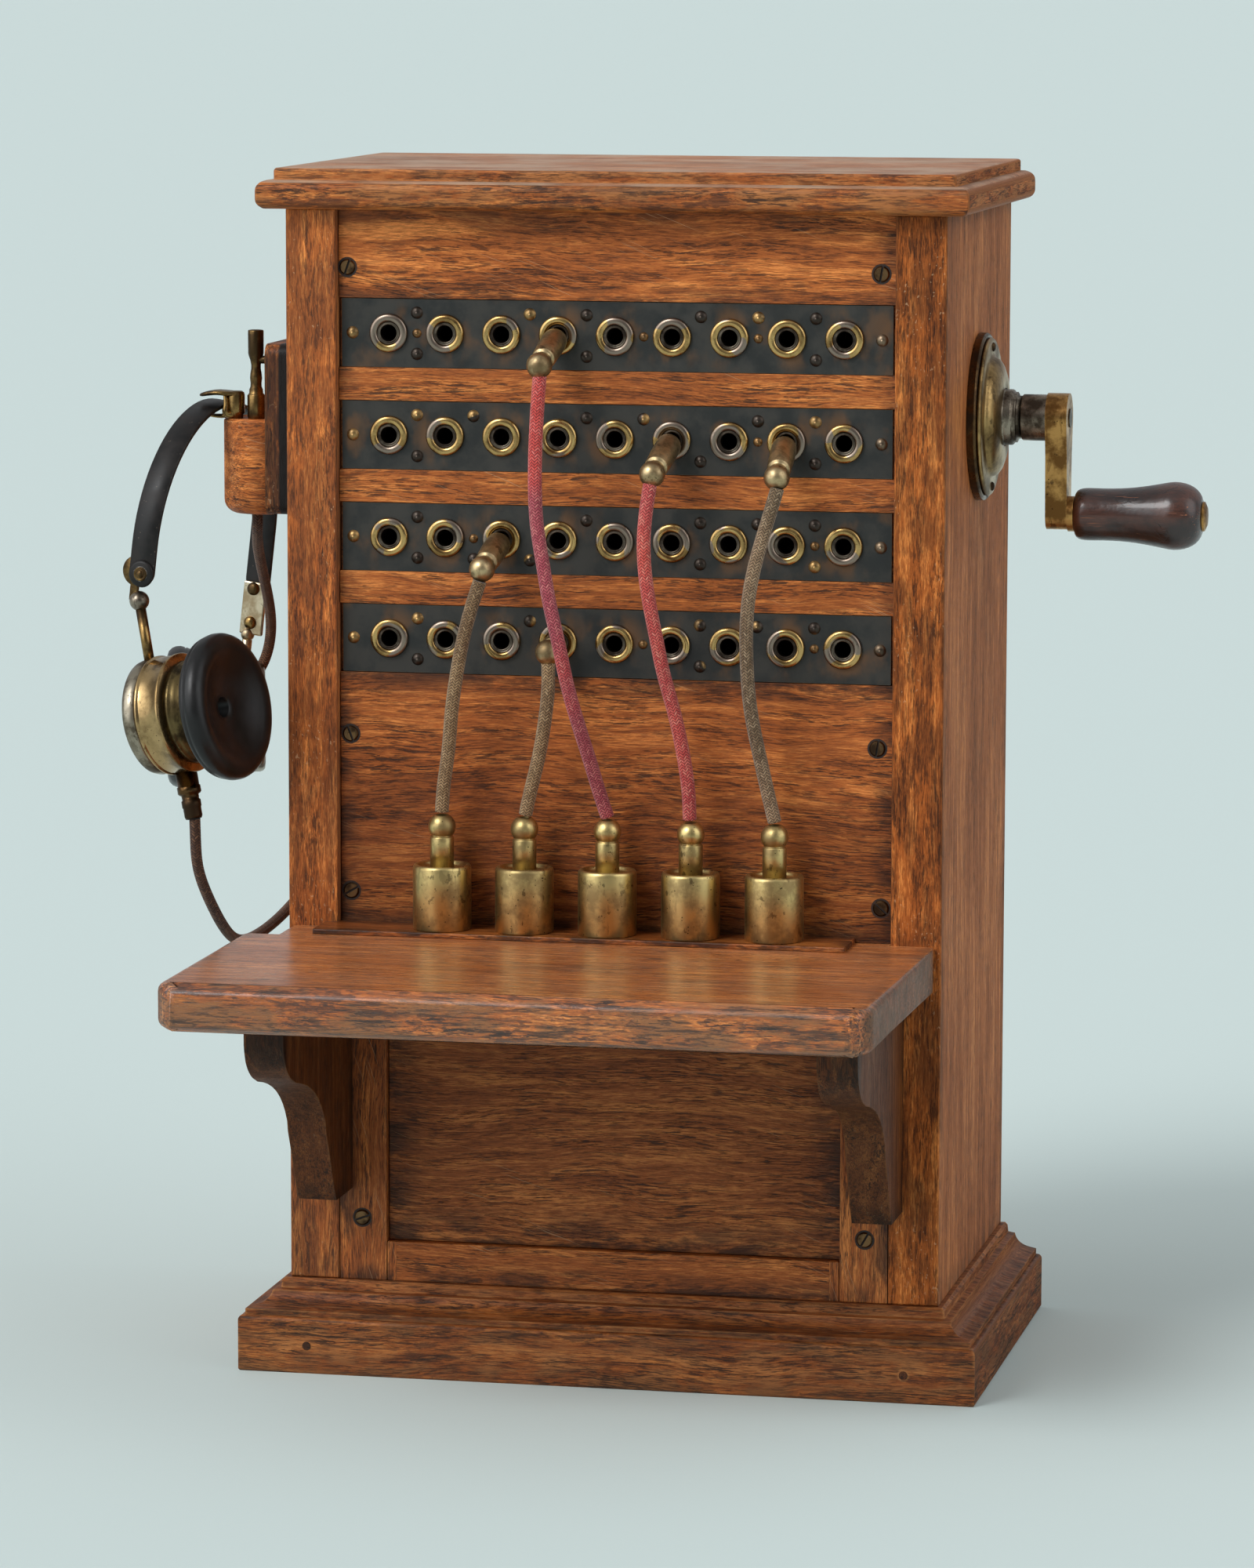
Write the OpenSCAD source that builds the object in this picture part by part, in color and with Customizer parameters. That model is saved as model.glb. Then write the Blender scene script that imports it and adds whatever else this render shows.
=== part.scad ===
// Tabletop telephone switchboard: an oak cabinet with a field of jacks, five patch cords,
// a hand-cranked signalling generator and an operator's headset hung on its side.
// Millimetres. +Z is up, the front faces -Y, and the origin is the centre of the base's underside.

/* [Base] */
// Overhang of the base slab at the front and the sides
base_over = 18.5; // [14:0.5:24]
// Height of the base slab
base_h = 24; // [18:0.5:32]
// Height of the moulded step on the base slab
moulding_h = 13.8; // [10:0.2:20]
// Rounding of the slab's upper edge
base_round = 2; // [1:0.5:4]
// Diameter of the pegs in the base slab
peg_d = 3.6; // [3:0.1:5]

/* [Cabinet] */
// Outer width of the cabinet
body_w = 280; // [270:1:290]
// Outer depth of the cabinet
body_d = 178; // [165:1:190]
// Height of the cabinet between base and cornice
body_h = 455.2; // [446:0.2:480]
// Thickness of the side boards
side_t = 21.5; // [18:0.5:24]
// Distance from the cabinet's front edges back to the panels
panel_inset = 4.5; // [3:0.5:6]
// Thickness of the front panels
panel_t = 10; // [8:0.5:12]
// Hairline joint left between neighbouring boards
board_gap = 0.3; // [0.1:0.1:0.5]
// Overhang of the cornice at the front and sides
cornice_over = 10.5; // [7:0.1:14]
// Thickness of the cornice slab
cornice_t = 12; // [9:0.2:14]
// Height of the raised board on the cornice
crown_t = 5; // [3:0.2:7]
// Inset of the raised board from the cornice's edge
crown_inset = 6.5; // [5:0.5:10]

/* [Lower front] */
// Width of the stiles beside the lower panel
stile_w = 20.3; // [16:0.1:26]
// Height of the rail under the lower panel
low_rail_h = 17.1; // [14:0.1:24]
// Distance from the cabinet's front edges back to the lower stiles
stile_inset = 0.5; // [0.3:0.1:2]
// Distance from the lower stiles back to the lower panel
low_panel_inset = 3.5; // [2:0.5:5]

/* [Shelf] */
// Height of the shelf's upper face over the table
shelf_top = 190; // [184:1:196]
// Thickness of the shelf
shelf_t = 18.5; // [14:0.5:22]
// Reach of the shelf in front of the cabinet
shelf_reach = 160; // [140:1:175]
// Distance from the cabinet's middle to the shelf's left end
shelf_left = 154.5; // [150:0.5:160]
// Distance from the cabinet's middle to the shelf's right end
shelf_right = 137; // [132:0.5:140]
// Corner radius of the shelf, seen from above
shelf_corner = 12; // [6:1:18]
// Rounding of the shelf's front edge
shelf_edge = 5; // [2:0.5:7]
// Gap between the cabinet's front and the shelf's overhanging ear
shelf_ear_gap = 22; // [15:1:30]
// Thickness of the brackets
bracket_w = 16.8; // [14:0.2:22]
// Distance from the cabinet's middle to the middle of the left bracket
bracket_left = 120.9; // [110:0.1:124]
// Distance from the cabinet's middle to the middle of the right bracket
bracket_right = 116.1; // [110:0.1:124]
// Reach of the brackets in front of the cabinet
bracket_reach = 112.5; // [85:0.5:120]
// Height of the brackets
bracket_h = 94; // [85:1:110]

/* [Jack field] */
// Number of jack rows
rows = 4; // [4:1:4]
// Number of jacks in a row
cols = 9; // [9:1:9]
// Distance between neighbouring jacks in a row
jack_pitch = 24.2; // [23:0.1:25]
// Distance between jack rows
row_pitch = 42.8; // [40:0.1:44]
// Height of the rail over the jack field
top_rail_h = 37.4; // [30:0.1:44]
// Distance from the ends of the jack field to the middle of a strip
field_edge = 14.3; // [13:0.1:16]
// Height of a jack strip
strip_h = 28.6; // [26:0.2:32]
// Thickness of a jack strip
strip_t = 2; // [1.5:0.1:2.5]
// Outer diameter of a jack's rim
rim_d = 16.4; // [14:0.1:18]
// Height of a jack's rim over the strip
rim_h = 2.8; // [2:0.1:4]
// Bore of a jack
jack_bore = 7.3; // [6.5:0.1:7.5]
// Outer diameter of a jack's barrel
jack_barrel = 10.4; // [9.6:0.1:11]
// Length of a jack's barrel behind the strip
barrel_l = 14; // [12:0.5:18]
// Diameter of the rivet heads
rivet_d = 5.2; // [4:0.1:6]
// Distance of the rivets above and below a row of jacks
rivet_rise = 8.6; // [8:0.1:9.5]
// Clearance of a hole around the metal part in it
hole_clear = 0.1; // [0.05:0.05:0.3]

/* [Plugs and cords] */
// Diameter of the plug's shank
shank_d = 5.4; // [5:0.1:6]
// Length of the plug's shank inside the jack
shank_l = 13; // [11:0.5:14]
// Diameter of the plug's sleeve
sleeve_d = 8.4; // [7:0.1:9.5]
// Distance from the jack's mouth to the plug's ball
plug_l = 28.5; // [26:0.5:34]
// Diameter of the ball at the plug's tail
plug_ball_d = 10.8; // [10:0.1:12]
// Diameter of the braided cords
cord_d = 5.8; // [5:0.1:6.5]
// Distance between neighbouring cord seats
seat_pitch = 35.5; // [30:0.5:40]
// Diameter of a cord seat
seat_d = 24.6; // [22:0.2:27]
// Height of a cord seat
seat_h = 25.5; // [22:0.5:30]
// Wall of a cord seat
seat_wall = 1.8; // [1.2:0.1:2.5]
// Depth of the recess in a cord seat
seat_recess = 9; // [5:0.5:15]
// Gap between the front panel and a cord seat
seat_gap = 1; // [0.5:0.5:3]
// Diameter of the stem that stands in a seat
stem_d = 10.1; // [9:0.1:12]
// Length of the stem above the seat
stem_rise = 13.8; // [11:0.2:17]
// Diameter of the ball on a stem
stem_ball_d = 11.6; // [11:0.1:14]
// Length of the short plug from the jack's mouth to its ball
short_plug_l = 16.1; // [15:0.1:20]
// Thickness of the strip under the seats
seat_strip_t = 2.2; // [1.6:0.2:3]
// Reach of the seat strip in front of the cabinet
seat_strip_reach = 22; // [21:0.5:28]
// Distance from the cabinet's middle to the left end of the seat strip
seat_strip_left = 124; // [100:1:130]
// Distance from the cabinet's middle to the right end of the seat strip
seat_strip_right = 103; // [90:1:118]

/* [Crank] */
// Height of the crank's axis over the table
crank_z = 404.2; // [395:0.1:410]
// Diameter of the crank's shaft
shaft_d = 8; // [7:0.1:9]
// Running clearance of shafts in their bearings, on the radius
run_clear = 0.05; // [0.03:0.01:0.08]
// Diameter of the escutcheon's backing ring
ring_d = 71; // [66:1:76]
// Thickness of the backing ring
ring_t = 4; // [3:0.2:5]
// Diameter of the escutcheon's flange
flange_d = 67; // [62:1:70]
// Thickness of the escutcheon's flange
flange_t = 1.8; // [1.4:0.2:2.5]
// Height of the escutcheon's dome over its flange
dome_h = 5.6; // [4:0.2:7]
// Diameter of the escutcheon's dome
dome_d = 50.6; // [42:0.2:54]
// Diameter of the bearing boss on the escutcheon
boss_d = 23.6; // [21:0.2:26]
// Length of the bearing boss
boss_l = 5.6; // [5:0.2:8]
// Diameter of the crank's hub
hub_d = 19.6; // [17:0.2:21]
// Length of the crank's hub
hub_l = 10.8; // [9:0.2:14]
// Thickness of the crank's arm
arm_t = 9.2; // [7:0.2:11]
// Diameter of the arm's upper end
arm_top_d = 21; // [19:0.5:23]
// Diameter of the arm's lower end
arm_low_d = 13.4; // [12:0.2:15]
// Distance from the crank's axis to the grip's axis
throw = 40.6; // [38:0.2:46]
// Length of the grip
grip_l = 54; // [48:1:60]
// Diameter of the grip at its inner end
grip_in_d = 22.2; // [20:0.2:24]
// Diameter of the grip's bulb
grip_out_d = 28.8; // [26:0.2:31]
// Diameter of the grip's pin
pin_d = 6; // [5:0.5:7]

/* [Generator] */
// Teeth on the drive gear
gear_teeth = 80; // [72:4:88]
// Teeth on the armature's pinion
pinion_teeth = 20; // [16:1:22]
// Tooth module of the gears
tooth_m = 0.7; // [0.6:0.05:0.75]
// Width of the gears
gear_w = 5; // [4:0.5:7]
// Play that is added to the distance between the two gears' axles
mesh_play = 0.1; // [0.05:0.05:0.2]
// Thickness of the generator's end plates
plate_t = 3; // [2.5:0.5:4]
// Distance between the generator's end plates
plate_span = 54; // [48:1:60]
// Number of horseshoe magnets
magnets = 3; // [2:1:4]
// Width of a horseshoe magnet
magnet_w = 14; // [10:1:15]
// Thickness of a magnet's steel
magnet_t = 8; // [6:0.5:9]
// Diameter of the armature
armature_d = 22; // [18:0.5:24]
// Diameter of the armature's shaft
armature_shaft_d = 5; // [4:0.5:6]

/* [Headset] */
// Thickness of the hook's board
hook_board_t = 11.5; // [9:0.5:13]
// Width of the hook's board
hook_board_w = 44; // [38:1:50]
// Height of the hook's board
hook_board_h = 72; // [66:1:80]
// Height of the hook board's lower edge over the table
hook_board_z = 363.5; // [358:0.5:368]
// Distance from the cabinet's front to the middle of the hook board
hook_y = 30; // [26:1:36]
// Radius of the wooden hook block
block_r = 17; // [15:0.5:19]
// Height of the wooden hook block
block_h = 40.5; // [36:0.5:45]
// Travel of the switch hook when the headset is taken off
hook_travel = 3; // [2:0.5:4]
// Half the width of the headband
band_half = 58.5; // [54:0.5:64]
// Length of the headband's front end below its arch
leg_1 = 16; // [10:1:22]
// Length of the headband's rear end below its arch
leg_2 = 30; // [20:1:36]
// Width of the headband's steel
band_w = 11.5; // [10:0.5:13]
// Thickness of the headband's steel
band_t = 1.8; // [1.2:0.1:2.4]
// Diameter of a receiver's case
case_d = 50; // [46:1:54]
// Depth of a receiver's case
case_l = 20; // [16:1:24]
// Diameter of an ear cap
cap_d = 62; // [56:1:66]
// Depth of a receiver from its back to the ear cap's rim
receiver_l = 44; // [40:1:48]
// Diameter of the headset's cords
lead_d = 4.7; // [4.2:0.1:5.2]
// Clearance of a headset cord in its hole, on the radius
lead_clear = 1; // [0.8:0.1:1.5]
// Diameter of the rods that carry the receivers
rod_d = 4.4; // [3.6:0.2:5]

/* [Back door] */
// Thickness of the back door
door_t = 9; // [7:0.5:11]
// Height of the rails above and below the back door
back_rail_h = 18; // [14:1:26]
// Gap around the back door
door_gap = 0.8; // [0.5:0.1:1.5]
// Height of a hinge
hinge_h = 40; // [30:1:50]
// Diameter of a hinge's knuckle
knuckle_d = 5; // [4:0.5:6]
// Diameter of the door's knob
knob_d = 14; // [10:1:18]

/* [Hidden] */
$fn = 48;

// Main planes
base_w = body_w + 2 * base_over;
base_d = body_d + base_over;
front = -base_d / 2 + base_over;
back = front + body_d;
floor_z = base_h + moulding_h;
top_z = floor_z + body_h;
half_w = body_w / 2;
bay = half_w - side_t;
face = front + panel_inset;

// Pegs in the base slab
peg_l = 5;
peg_z = base_h / 2;
peg_xs = [-128.4, 128.4];

// Jack field
field_top = top_z - top_rail_h;
row_1 = field_top - field_edge - (rows - 1) * row_pitch;
field_low = row_1 - field_edge;
strip_x = bay - 1.5;
strip_front = face + 0.5;
board_t = 10;
land_t = strip_t + 0.5;
function jack_x(i) = (i - (cols + 1) / 2) * jack_pitch;
function row_z(r) = row_1 + (rows - r) * row_pitch;

// Seats and plugs; a plug is [row, jack, droop, yaw, distance of its ball from the jack's mouth]
seat_y = face - seat_gap - seat_d / 2;
seat_z = shelf_top + seat_strip_t;
stem_ball_z = seat_z + seat_h + stem_rise + stem_ball_d * 0.35;
function seat_x(i) = (i - 3) * seat_pitch;
plug_rest = [[3, 3, 21, -5, plug_l], [4, 4, 7, -3, short_plug_l], [1, 4, 23, -5, plug_l],
    [2, 6, 24, -6, plug_l + 1.5], [2, 8, 27, 2, plug_l]];
plug_clear = 0.15;

// Crank, from the cabinet's right side outwards
crank_y = front + body_d / 2;
flange_x = half_w + ring_t;
boss_x = flange_x + flange_t + dome_h;
hub_x = boss_x + boss_l + 1.6 + 0.3;
arm_x = hub_x + hub_l;
arm_face = arm_x + arm_t;
washer_t = 2.6;
grip_x = arm_face + washer_t + 0.3;
grip_z = crank_z - throw;
pin_head_x = grip_x + grip_l + 0.3;

// Generator, from the cabinet's right side inwards
gear_r = gear_teeth * tooth_m / 2;
pinion_r = pinion_teeth * tooth_m / 2;
tooth_out = tooth_m * 0.9;
tooth_in = tooth_m * 1.15;
armature_z = crank_z - gear_r - pinion_r - mesh_play;
gear_x = bay - 4 - gear_w;
plate_x = gear_x - 2 - plate_t;
rear_plate_x = plate_x - plate_span - plate_t;
pole_gap = 0.4;
magnet_pitch = plate_span / magnets;

// Hook and headset; the headset hangs on its hook, turned a little and leaning outwards
hook_mid = front + hook_y;
wall_x = -half_w - hook_board_t;
block_x = wall_x - 6.3;
block_low = hook_board_z - 1;
block_top = block_low + block_h;
post_at = [wall_x - 7.5, hook_mid - 8];
lever_at = [wall_x - 16.3, hook_mid - 8];
lever_top = block_top + 9;
lever_w = 10;
lever_gap = 0.3;
stem_r = 3;
crown = [-177.5, hook_mid, block_top + 6.8];
lean = 6.8;
turn = -10.5;
// The jaw passes under the arch beside its crown, where the band is already lower
arch_drop = 1.8;
jaw_top = crown[2] - band_t * cos(lean) - band_w / 2 * sin(lean) - 0.15 - arch_drop;

// A point given in the headband's own frame
function from_crown(p) = let (x = p[0] * cos(lean) + p[2] * sin(lean),
    z = p[2] * cos(lean) - p[0] * sin(lean))
    crown + [x * cos(turn) - p[1] * sin(turn), x * sin(turn) + p[1] * cos(turn), z];

// Thickness of the plates riveted to the band's ends
lug_t = 2;

// Rods that carry the receivers, from the joint at the band's end to the receiver's case
rod_1_top = from_crown([0, -band_half + band_t / 2, -band_half - leg_1 - 6.5]);
rod_1_end = [-192, front - 29, 304.5];
rod_2_top = from_crown([-1.5, band_half - band_t - lug_t / 2, -band_half - leg_2 - 19]);
rod_2_end = [-183, front + 89, 291.5];
rod_1_way = (rod_1_end - rod_1_top) / norm(rod_1_end - rod_1_top);
rod_2_way = (rod_2_end - rod_2_top) / norm(rod_2_end - rod_2_top);
rod_in = 6;
// Back of each receiver's case, and the way that its ear cap faces as [azimuth, elevation]
case_1 = [-192, front - 28, 280.5];
case_1_aim = [-14.8, 10.5];
case_2 = [-174.5, front + 91, 267];
case_2_aim = [195, 0];
ferrule_1 = [-175, front - 30, 251];

// Routes of the cords, from the stem or wall to the plug or receiver, in whole millimetres;
// y is counted from the cabinet's front
route_1 = [[-71, -9, 242], [-70, -10, 254], [-67, -13, 268], [-65, -17, 285], [-62, -20, 301],
    [-59, -22, 315], [-55, -24, 329], [-51, -24, 341]];
route_2 = [[-35, -9, 242], [-32, -11, 254], [-28, -13, 268], [-25, -15, 285], [-24, -14, 297],
    [-25, -11, 308]];
route_3 = [[0, -9, 242], [-3, -12, 253], [-6, -19, 269], [-10, -27, 287], [-13, -33, 304],
    [-15, -36, 318], [-19, -36, 334], [-22, -33, 349], [-26, -29, 366], [-27, -27, 384],
    [-27, -25, 404], [-26, -22, 427]];
route_4 = [[35, -9, 242], [35, -11, 255], [33, -14, 271], [30, -17, 288], [26, -21, 304],
    [24, -24, 318], [21, -26, 334], [19, -27, 350], [19, -27, 366], [21, -24, 383]];
route_5 = [[71, -9, 242], [68, -11, 256], [65, -14, 272], [62, -18, 290], [61, -20, 308],
    [61, -22, 325], [63, -24, 342], [67, -24, 358], [71, -24, 371], [74, -23, 382]];
lead_1 = [[-139, 84, 201], [-144, 83, 201], [-149, 76, 198], [-154, 62, 190], [-158, 47, 184],
    [-162, 26, 180], [-165, 6, 181], [-167, -8, 190], [-169, -20, 202], [-172, -28, 216],
    [-172, -31, 228], [-172, -32, 239]];
lead_2 = [[-160, 26, 364], [-160, 27, 359], [-162, 33, 353], [-166, 50, 343], [-168, 68, 328],
    [-169, 81, 313], [-171, 87, 301], [-174, 89, 292]];

function bend(a, b, c, d, t) =
    a * pow(1 - t, 3) + b * 3 * t * pow(1 - t, 2) + c * 3 * t * t * (1 - t) + d * pow(t, 3);
function curve(a, b, c, d, n = 10) = [for (i = [0:n]) bend(a, b, c, d, i / n)];

// A solid block whose corners seen along Z are rounded
module rounded_block(size, r) {
    linear_extrude(size[2])
        union() {
            translate([r, 0]) square([size[0] - 2 * r, size[1]]);
            translate([0, r]) square([size[0], size[1] - 2 * r]);
            for (x = [r, size[0] - r], y = [r, size[1] - r])
                translate([x, y]) circle(r);
        }
}

// A slab with the same moulded edge at its front and sides; edge lists [inset, height] points
// from the bottom up, and the back is cut flush
module moulded_slab(w, y0, y1, edge) {
    top = edge[len(edge) - 1][1];
    low = edge[0][1];
    right_edge = [for (p = edge) [w / 2 - p[0], p[1]]];
    left_edge = [for (i = [len(edge) - 1:-1:0]) [-w / 2 + edge[i][0], edge[i][1]]];
    front_edge = [for (i = [len(edge) - 1:-1:0]) [y0 + edge[i][0], edge[i][1]]];
    intersection() {
        translate([0, y1, 0]) rotate([90, 0, 0])
            linear_extrude(y1 - y0) polygon(concat(right_edge, left_edge));
        rotate([90, 0, 90]) translate([0, 0, -w / 2])
            linear_extrude(w) polygon(concat(front_edge, [[y1, low], [y1, top]]));
    }
}

// A body turned about the X axis; profile lists [x, radius] points
module turned_x(profile) {
    rotate([90, 0, 90]) rotate_extrude($fn = 64)
        polygon([for (p = profile) [p[1], p[0]]]);
}

// A spur gear in the YZ plane with one tooth at the given angle; corners are [share of the
// tooth's step from its middle, radius]
module gear(teeth, w, bore_r, tooth_angle) {
    r = teeth * tooth_m / 2;
    step = 360 / teeth;
    corners = [[-0.31, r - tooth_in], [-0.13, r + tooth_out], [0.13, r + tooth_out],
        [0.31, r - tooth_in]];
    rotate([90, 0, 90]) linear_extrude(w) difference() {
        polygon([for (i = [0:teeth - 1], c = corners)
            c[1] * [cos((i + c[0]) * step + tooth_angle), sin((i + c[0]) * step + tooth_angle)]]);
        circle(bore_r);
    }
}

// A braided cord swept along a smooth line through the route's points
module cord(route, d, sides, gap) {
    n = len(route) - 1;
    total = [for (i = 0, s = 0; i <= n; s = s + (i < n ? norm(route[i + 1] - route[i]) : 0), i = i + 1) s];
    rings = max(4, ceil(total[n] / gap));
    function pt(i) = route[max(0, min(n, i))];
    function seg(s) = max([for (i = [0:n - 1]) total[i] <= s + 0.001 ? i : 0]);
    function at(s) = let (i = seg(s), t = (s - total[i]) / (total[i + 1] - total[i]),
        a = pt(i - 1), b = pt(i), c = pt(i + 1), e = pt(i + 2))
        0.5 * (2 * b + (c - a) * t + (2 * a - 5 * b + 4 * c - e) * t * t
        + (3 * b - a - 3 * c + e) * t * t * t);
    stops = [for (k = [0:rings]) at(min(total[n] - 0.01, total[n] * k / rings))];
    function way(k) = let (v = stops[min(rings, k + 1)] - stops[max(0, k - 1)]) v / norm(v);
    points = [for (k = [0:rings]) let (t = way(k), u0 = [1, 0, 0] - t * t[0], u = u0 / norm(u0),
        v = cross(t, u)) for (j = [0:sides - 1])
        stops[k] + d / 2 * (u * cos(360 * j / sides) + v * sin(360 * j / sides))];
    skin = [for (k = [0:rings - 1], j = [0:sides - 1]) let (e = (j + 1) % sides)
        [k * sides + j, (k + 1) * sides + j, (k + 1) * sides + e, k * sides + e]];
    caps = [[for (j = [0:sides - 1]) j], [for (j = [sides - 1:-1:0]) rings * sides + j]];
    translate([0, front, 0]) polyhedron(points, concat(skin, caps));
}

module plinth() {
    edge = concat([[0.6, 0], [0, 0.8], [0, base_h - base_round]],
        [for (a = [15:15:90]) [base_round * (1 - cos(a)), base_h - base_round * (1 - sin(a))]]);
    color("saddlebrown") difference() {
        moulded_slab(base_w, -base_d / 2, base_d / 2, edge);
        for (x = peg_xs) translate([x, -base_d / 2 - 1, peg_z]) rotate([-90, 0, 0])
            cylinder(d = peg_d + 0.1, h = peg_l + 1);
    }
}

// Round pegs that close the screw holes in the base slab
module wood_pegs() {
    color("black") for (x = peg_xs) translate([x, -base_d / 2 - 0.2, peg_z]) rotate([-90, 0, 0])
        cylinder(d = peg_d, h = peg_l);
}

module plinth_moulding() {
    h = moulding_h;
    over = base_over;
    edge = concat([[2.6, base_h], [2.6, base_h + h * 0.18]],
        curve([5.4, base_h + h * 0.22], [over * 0.42, base_h + h * 0.26],
            [over * 0.62, base_h + h * 0.36], [over * 0.66, base_h + h * 0.66], 8),
        [[over * 0.82, base_h + h * 0.7], [over * 0.84, base_h + h * 0.92],
        [over * 0.9, base_h + h]]);
    color("sienna") moulded_slab(base_w, -base_d / 2, base_d / 2, edge);
}

module cornice() {
    low = top_z;
    mid = top_z + cornice_t;
    top = mid + crown_t;
    r = 4;
    edge = concat([for (a = [0:15:90]) [r * (1 - sin(a)), low + r * (1 - cos(a))]],
        curve([0, mid - 4.5], [0, mid - 1.5], [2, mid - 0.6], [crown_inset * 0.7, mid], 6),
        [[crown_inset, mid], [crown_inset, top - 1.6]],
        curve([crown_inset, top - 1.4], [crown_inset, top - 0.4], [crown_inset + 0.6, top],
            [crown_inset + 2, top], 4));
    color("sienna") moulded_slab(body_w + 2 * cornice_over, front - cornice_over, back, edge);
}

module side_board() {
    translate([bay, front, floor_z]) cube([side_t, body_d, body_h]);
}

module left_side() {
    color("saddlebrown") difference() {
        mirror([1, 0, 0]) side_board();
        translate([-half_w - 1, front + lead_1[0][1], lead_1[0][2]]) rotate([0, 90, 0])
            cylinder(d = lead_d + 2 * lead_clear, h = side_t + 2);
    }
}

module right_side() {
    color("saddlebrown") difference() {
        side_board();
        translate([bay - 1, crank_y, crank_z]) rotate([0, 90, 0]) cylinder(d = shaft_d + 4, h = side_t + 2);
    }
}

module top_rail() {
    color("peru") translate([-bay + board_gap, face, field_top + board_gap])
        cube([2 * (bay - board_gap), panel_t, top_z - field_top - board_gap]);
}

module jack_board() {
    color("peru") difference() {
        translate([-bay + board_gap, face, field_low])
            cube([2 * (bay - board_gap), board_t + land_t, field_top - field_low]);
        for (r = [1:rows])
            translate([-bay, face - 1, row_z(r) - strip_h / 2 - 0.2])
                cube([2 * bay, land_t + 1, strip_h + 0.4]);
        for (r = [1:rows], i = [1:cols])
            translate([jack_x(i), face - 1, row_z(r)]) rotate([-90, 0, 0])
                cylinder(d = jack_barrel + 2 * hole_clear, h = board_t + land_t + 2);
    }
}

module front_panel() {
    color("peru") translate([-bay + board_gap, face, shelf_top])
        cube([2 * (bay - board_gap), panel_t, field_low - shelf_top - board_gap]);
}

module lower_frame() {
    y = front + stile_inset;
    t = panel_t + panel_inset - stile_inset;
    color("saddlebrown") {
        for (s = [0, 1]) mirror([s, 0, 0])
            translate([bay - board_gap - stile_w, y, floor_z])
                cube([stile_w, t, shelf_top - shelf_t - floor_z]);
        translate([-bay + board_gap * 2 + stile_w, y, floor_z])
            cube([2 * (bay - board_gap * 2 - stile_w), t, low_rail_h]);
    }
}

module lower_panel() {
    x = bay - board_gap * 2 - stile_w;
    z = floor_z + low_rail_h + board_gap;
    color("peru") translate([-x, front + stile_inset + low_panel_inset, z])
        cube([2 * x, panel_t - 3, shelf_top - shelf_t - z]);
}

// Outline of the shelf: a tongue between the side boards, a notched ear on the left
module shelf_outline() {
    r = shelf_corner;
    difference() {
        union() {
            translate([-shelf_left, front - shelf_reach + r])
                square([shelf_left + shelf_right, shelf_reach - r]);
            translate([-shelf_left + r, front - shelf_reach])
                square([shelf_left + shelf_right - 2 * r, r + 1]);
            for (x = [-shelf_left + r, shelf_right - r])
                translate([x, front - shelf_reach + r]) circle(r);
            translate([-bay + board_gap, front - 1])
                square([2 * (bay - board_gap), panel_inset + panel_t + 1]);
        }
        translate([-shelf_left - 1, front - shelf_ear_gap])
            square([shelf_left - half_w + 1, shelf_ear_gap + 1]);
        translate([shelf_right - 3, front - 3]) difference() {
            square(4);
            circle(3);
        }
    }
}

// The shelf's soft front edge as [reach, height] points, from its underside up
module shelf_side() {
    r = shelf_edge;
    reach = shelf_reach;
    t = shelf_t;
    under = [for (a = [0:15:75]) [-reach + r * (1 - sin(a)), r * 0.8 * (1 - cos(a))]];
    over = [for (a = [15:15:90]) [-reach + r * (1 - cos(a)), t - r * (1 - sin(a))]];
    polygon(concat(under, over, [[panel_inset + panel_t, t], [panel_inset + panel_t, 0]]));
}

module shelf() {
    color("sienna") translate([0, 0, shelf_top - shelf_t]) intersection() {
        linear_extrude(shelf_t) shelf_outline();
        translate([-shelf_left - 1, front, 0]) rotate([90, 0, 90])
            linear_extrude(shelf_left + shelf_right + 2) shelf_side();
    }
}

// Side outline of a bracket as [distance in front of the cabinet, depth under the shelf]
module bracket_outline() {
    reach = bracket_reach;
    h = bracket_h;
    nose = curve([reach, -h * 0.14], [reach - 1, -h * 0.23], [reach - 8, -h * 0.3],
        [reach * 0.84, -h * 0.33], 8);
    throat = curve([reach * 0.82, -h * 0.34], [reach * 0.6, -h * 0.39], [reach * 0.47, -h * 0.47],
        [reach * 0.4, -h * 0.61], 8);
    toe = curve([reach * 0.39, -h * 0.66], [reach * 0.33, -h * 0.79], [reach * 0.3, -h * 0.87],
        [reach * 0.28, -h * 0.93], 6);
    polygon(concat([[0, 0], [reach, 0]], nose, throat, toe, [[reach * 0.24, -h], [0, -h]]));
}

module shelf_brackets() {
    color("saddlebrown") for (x = [-bracket_left, bracket_right])
        translate([x - bracket_w / 2, front, shelf_top - shelf_t])
            rotate([90, 0, 90]) mirror([1, 0, 0]) linear_extrude(bracket_w) bracket_outline();
}

module seat_strip() {
    tail_left = min(seat_strip_left, bay - board_gap);
    tail_right = min(seat_strip_right, bay - board_gap);
    color("sienna") translate([0, front, shelf_top]) linear_extrude(seat_strip_t) union() {
        translate([-seat_strip_left, -seat_strip_reach])
            square([seat_strip_left + seat_strip_right, seat_strip_reach]);
        translate([-tail_left, -1]) square([tail_left + tail_right, panel_inset + 1]);
    }
}

module back_rails() {
    color("saddlebrown") for (z = [floor_z, top_z - back_rail_h])
        translate([-bay + board_gap, back - door_t, z])
            cube([2 * (bay - board_gap), door_t, back_rail_h]);
}

door_low = floor_z + back_rail_h + door_gap;
door_top = top_z - back_rail_h - door_gap;
hinge_zs = [door_low + 50, door_top - 50 - hinge_h];
hinge_y = back + knuckle_d / 2 + 0.2;

module back_door() {
    color("peru") translate([-bay + door_gap, back - door_t, door_low])
        cube([2 * (bay - door_gap), door_t, door_top - door_low]);
}

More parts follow.
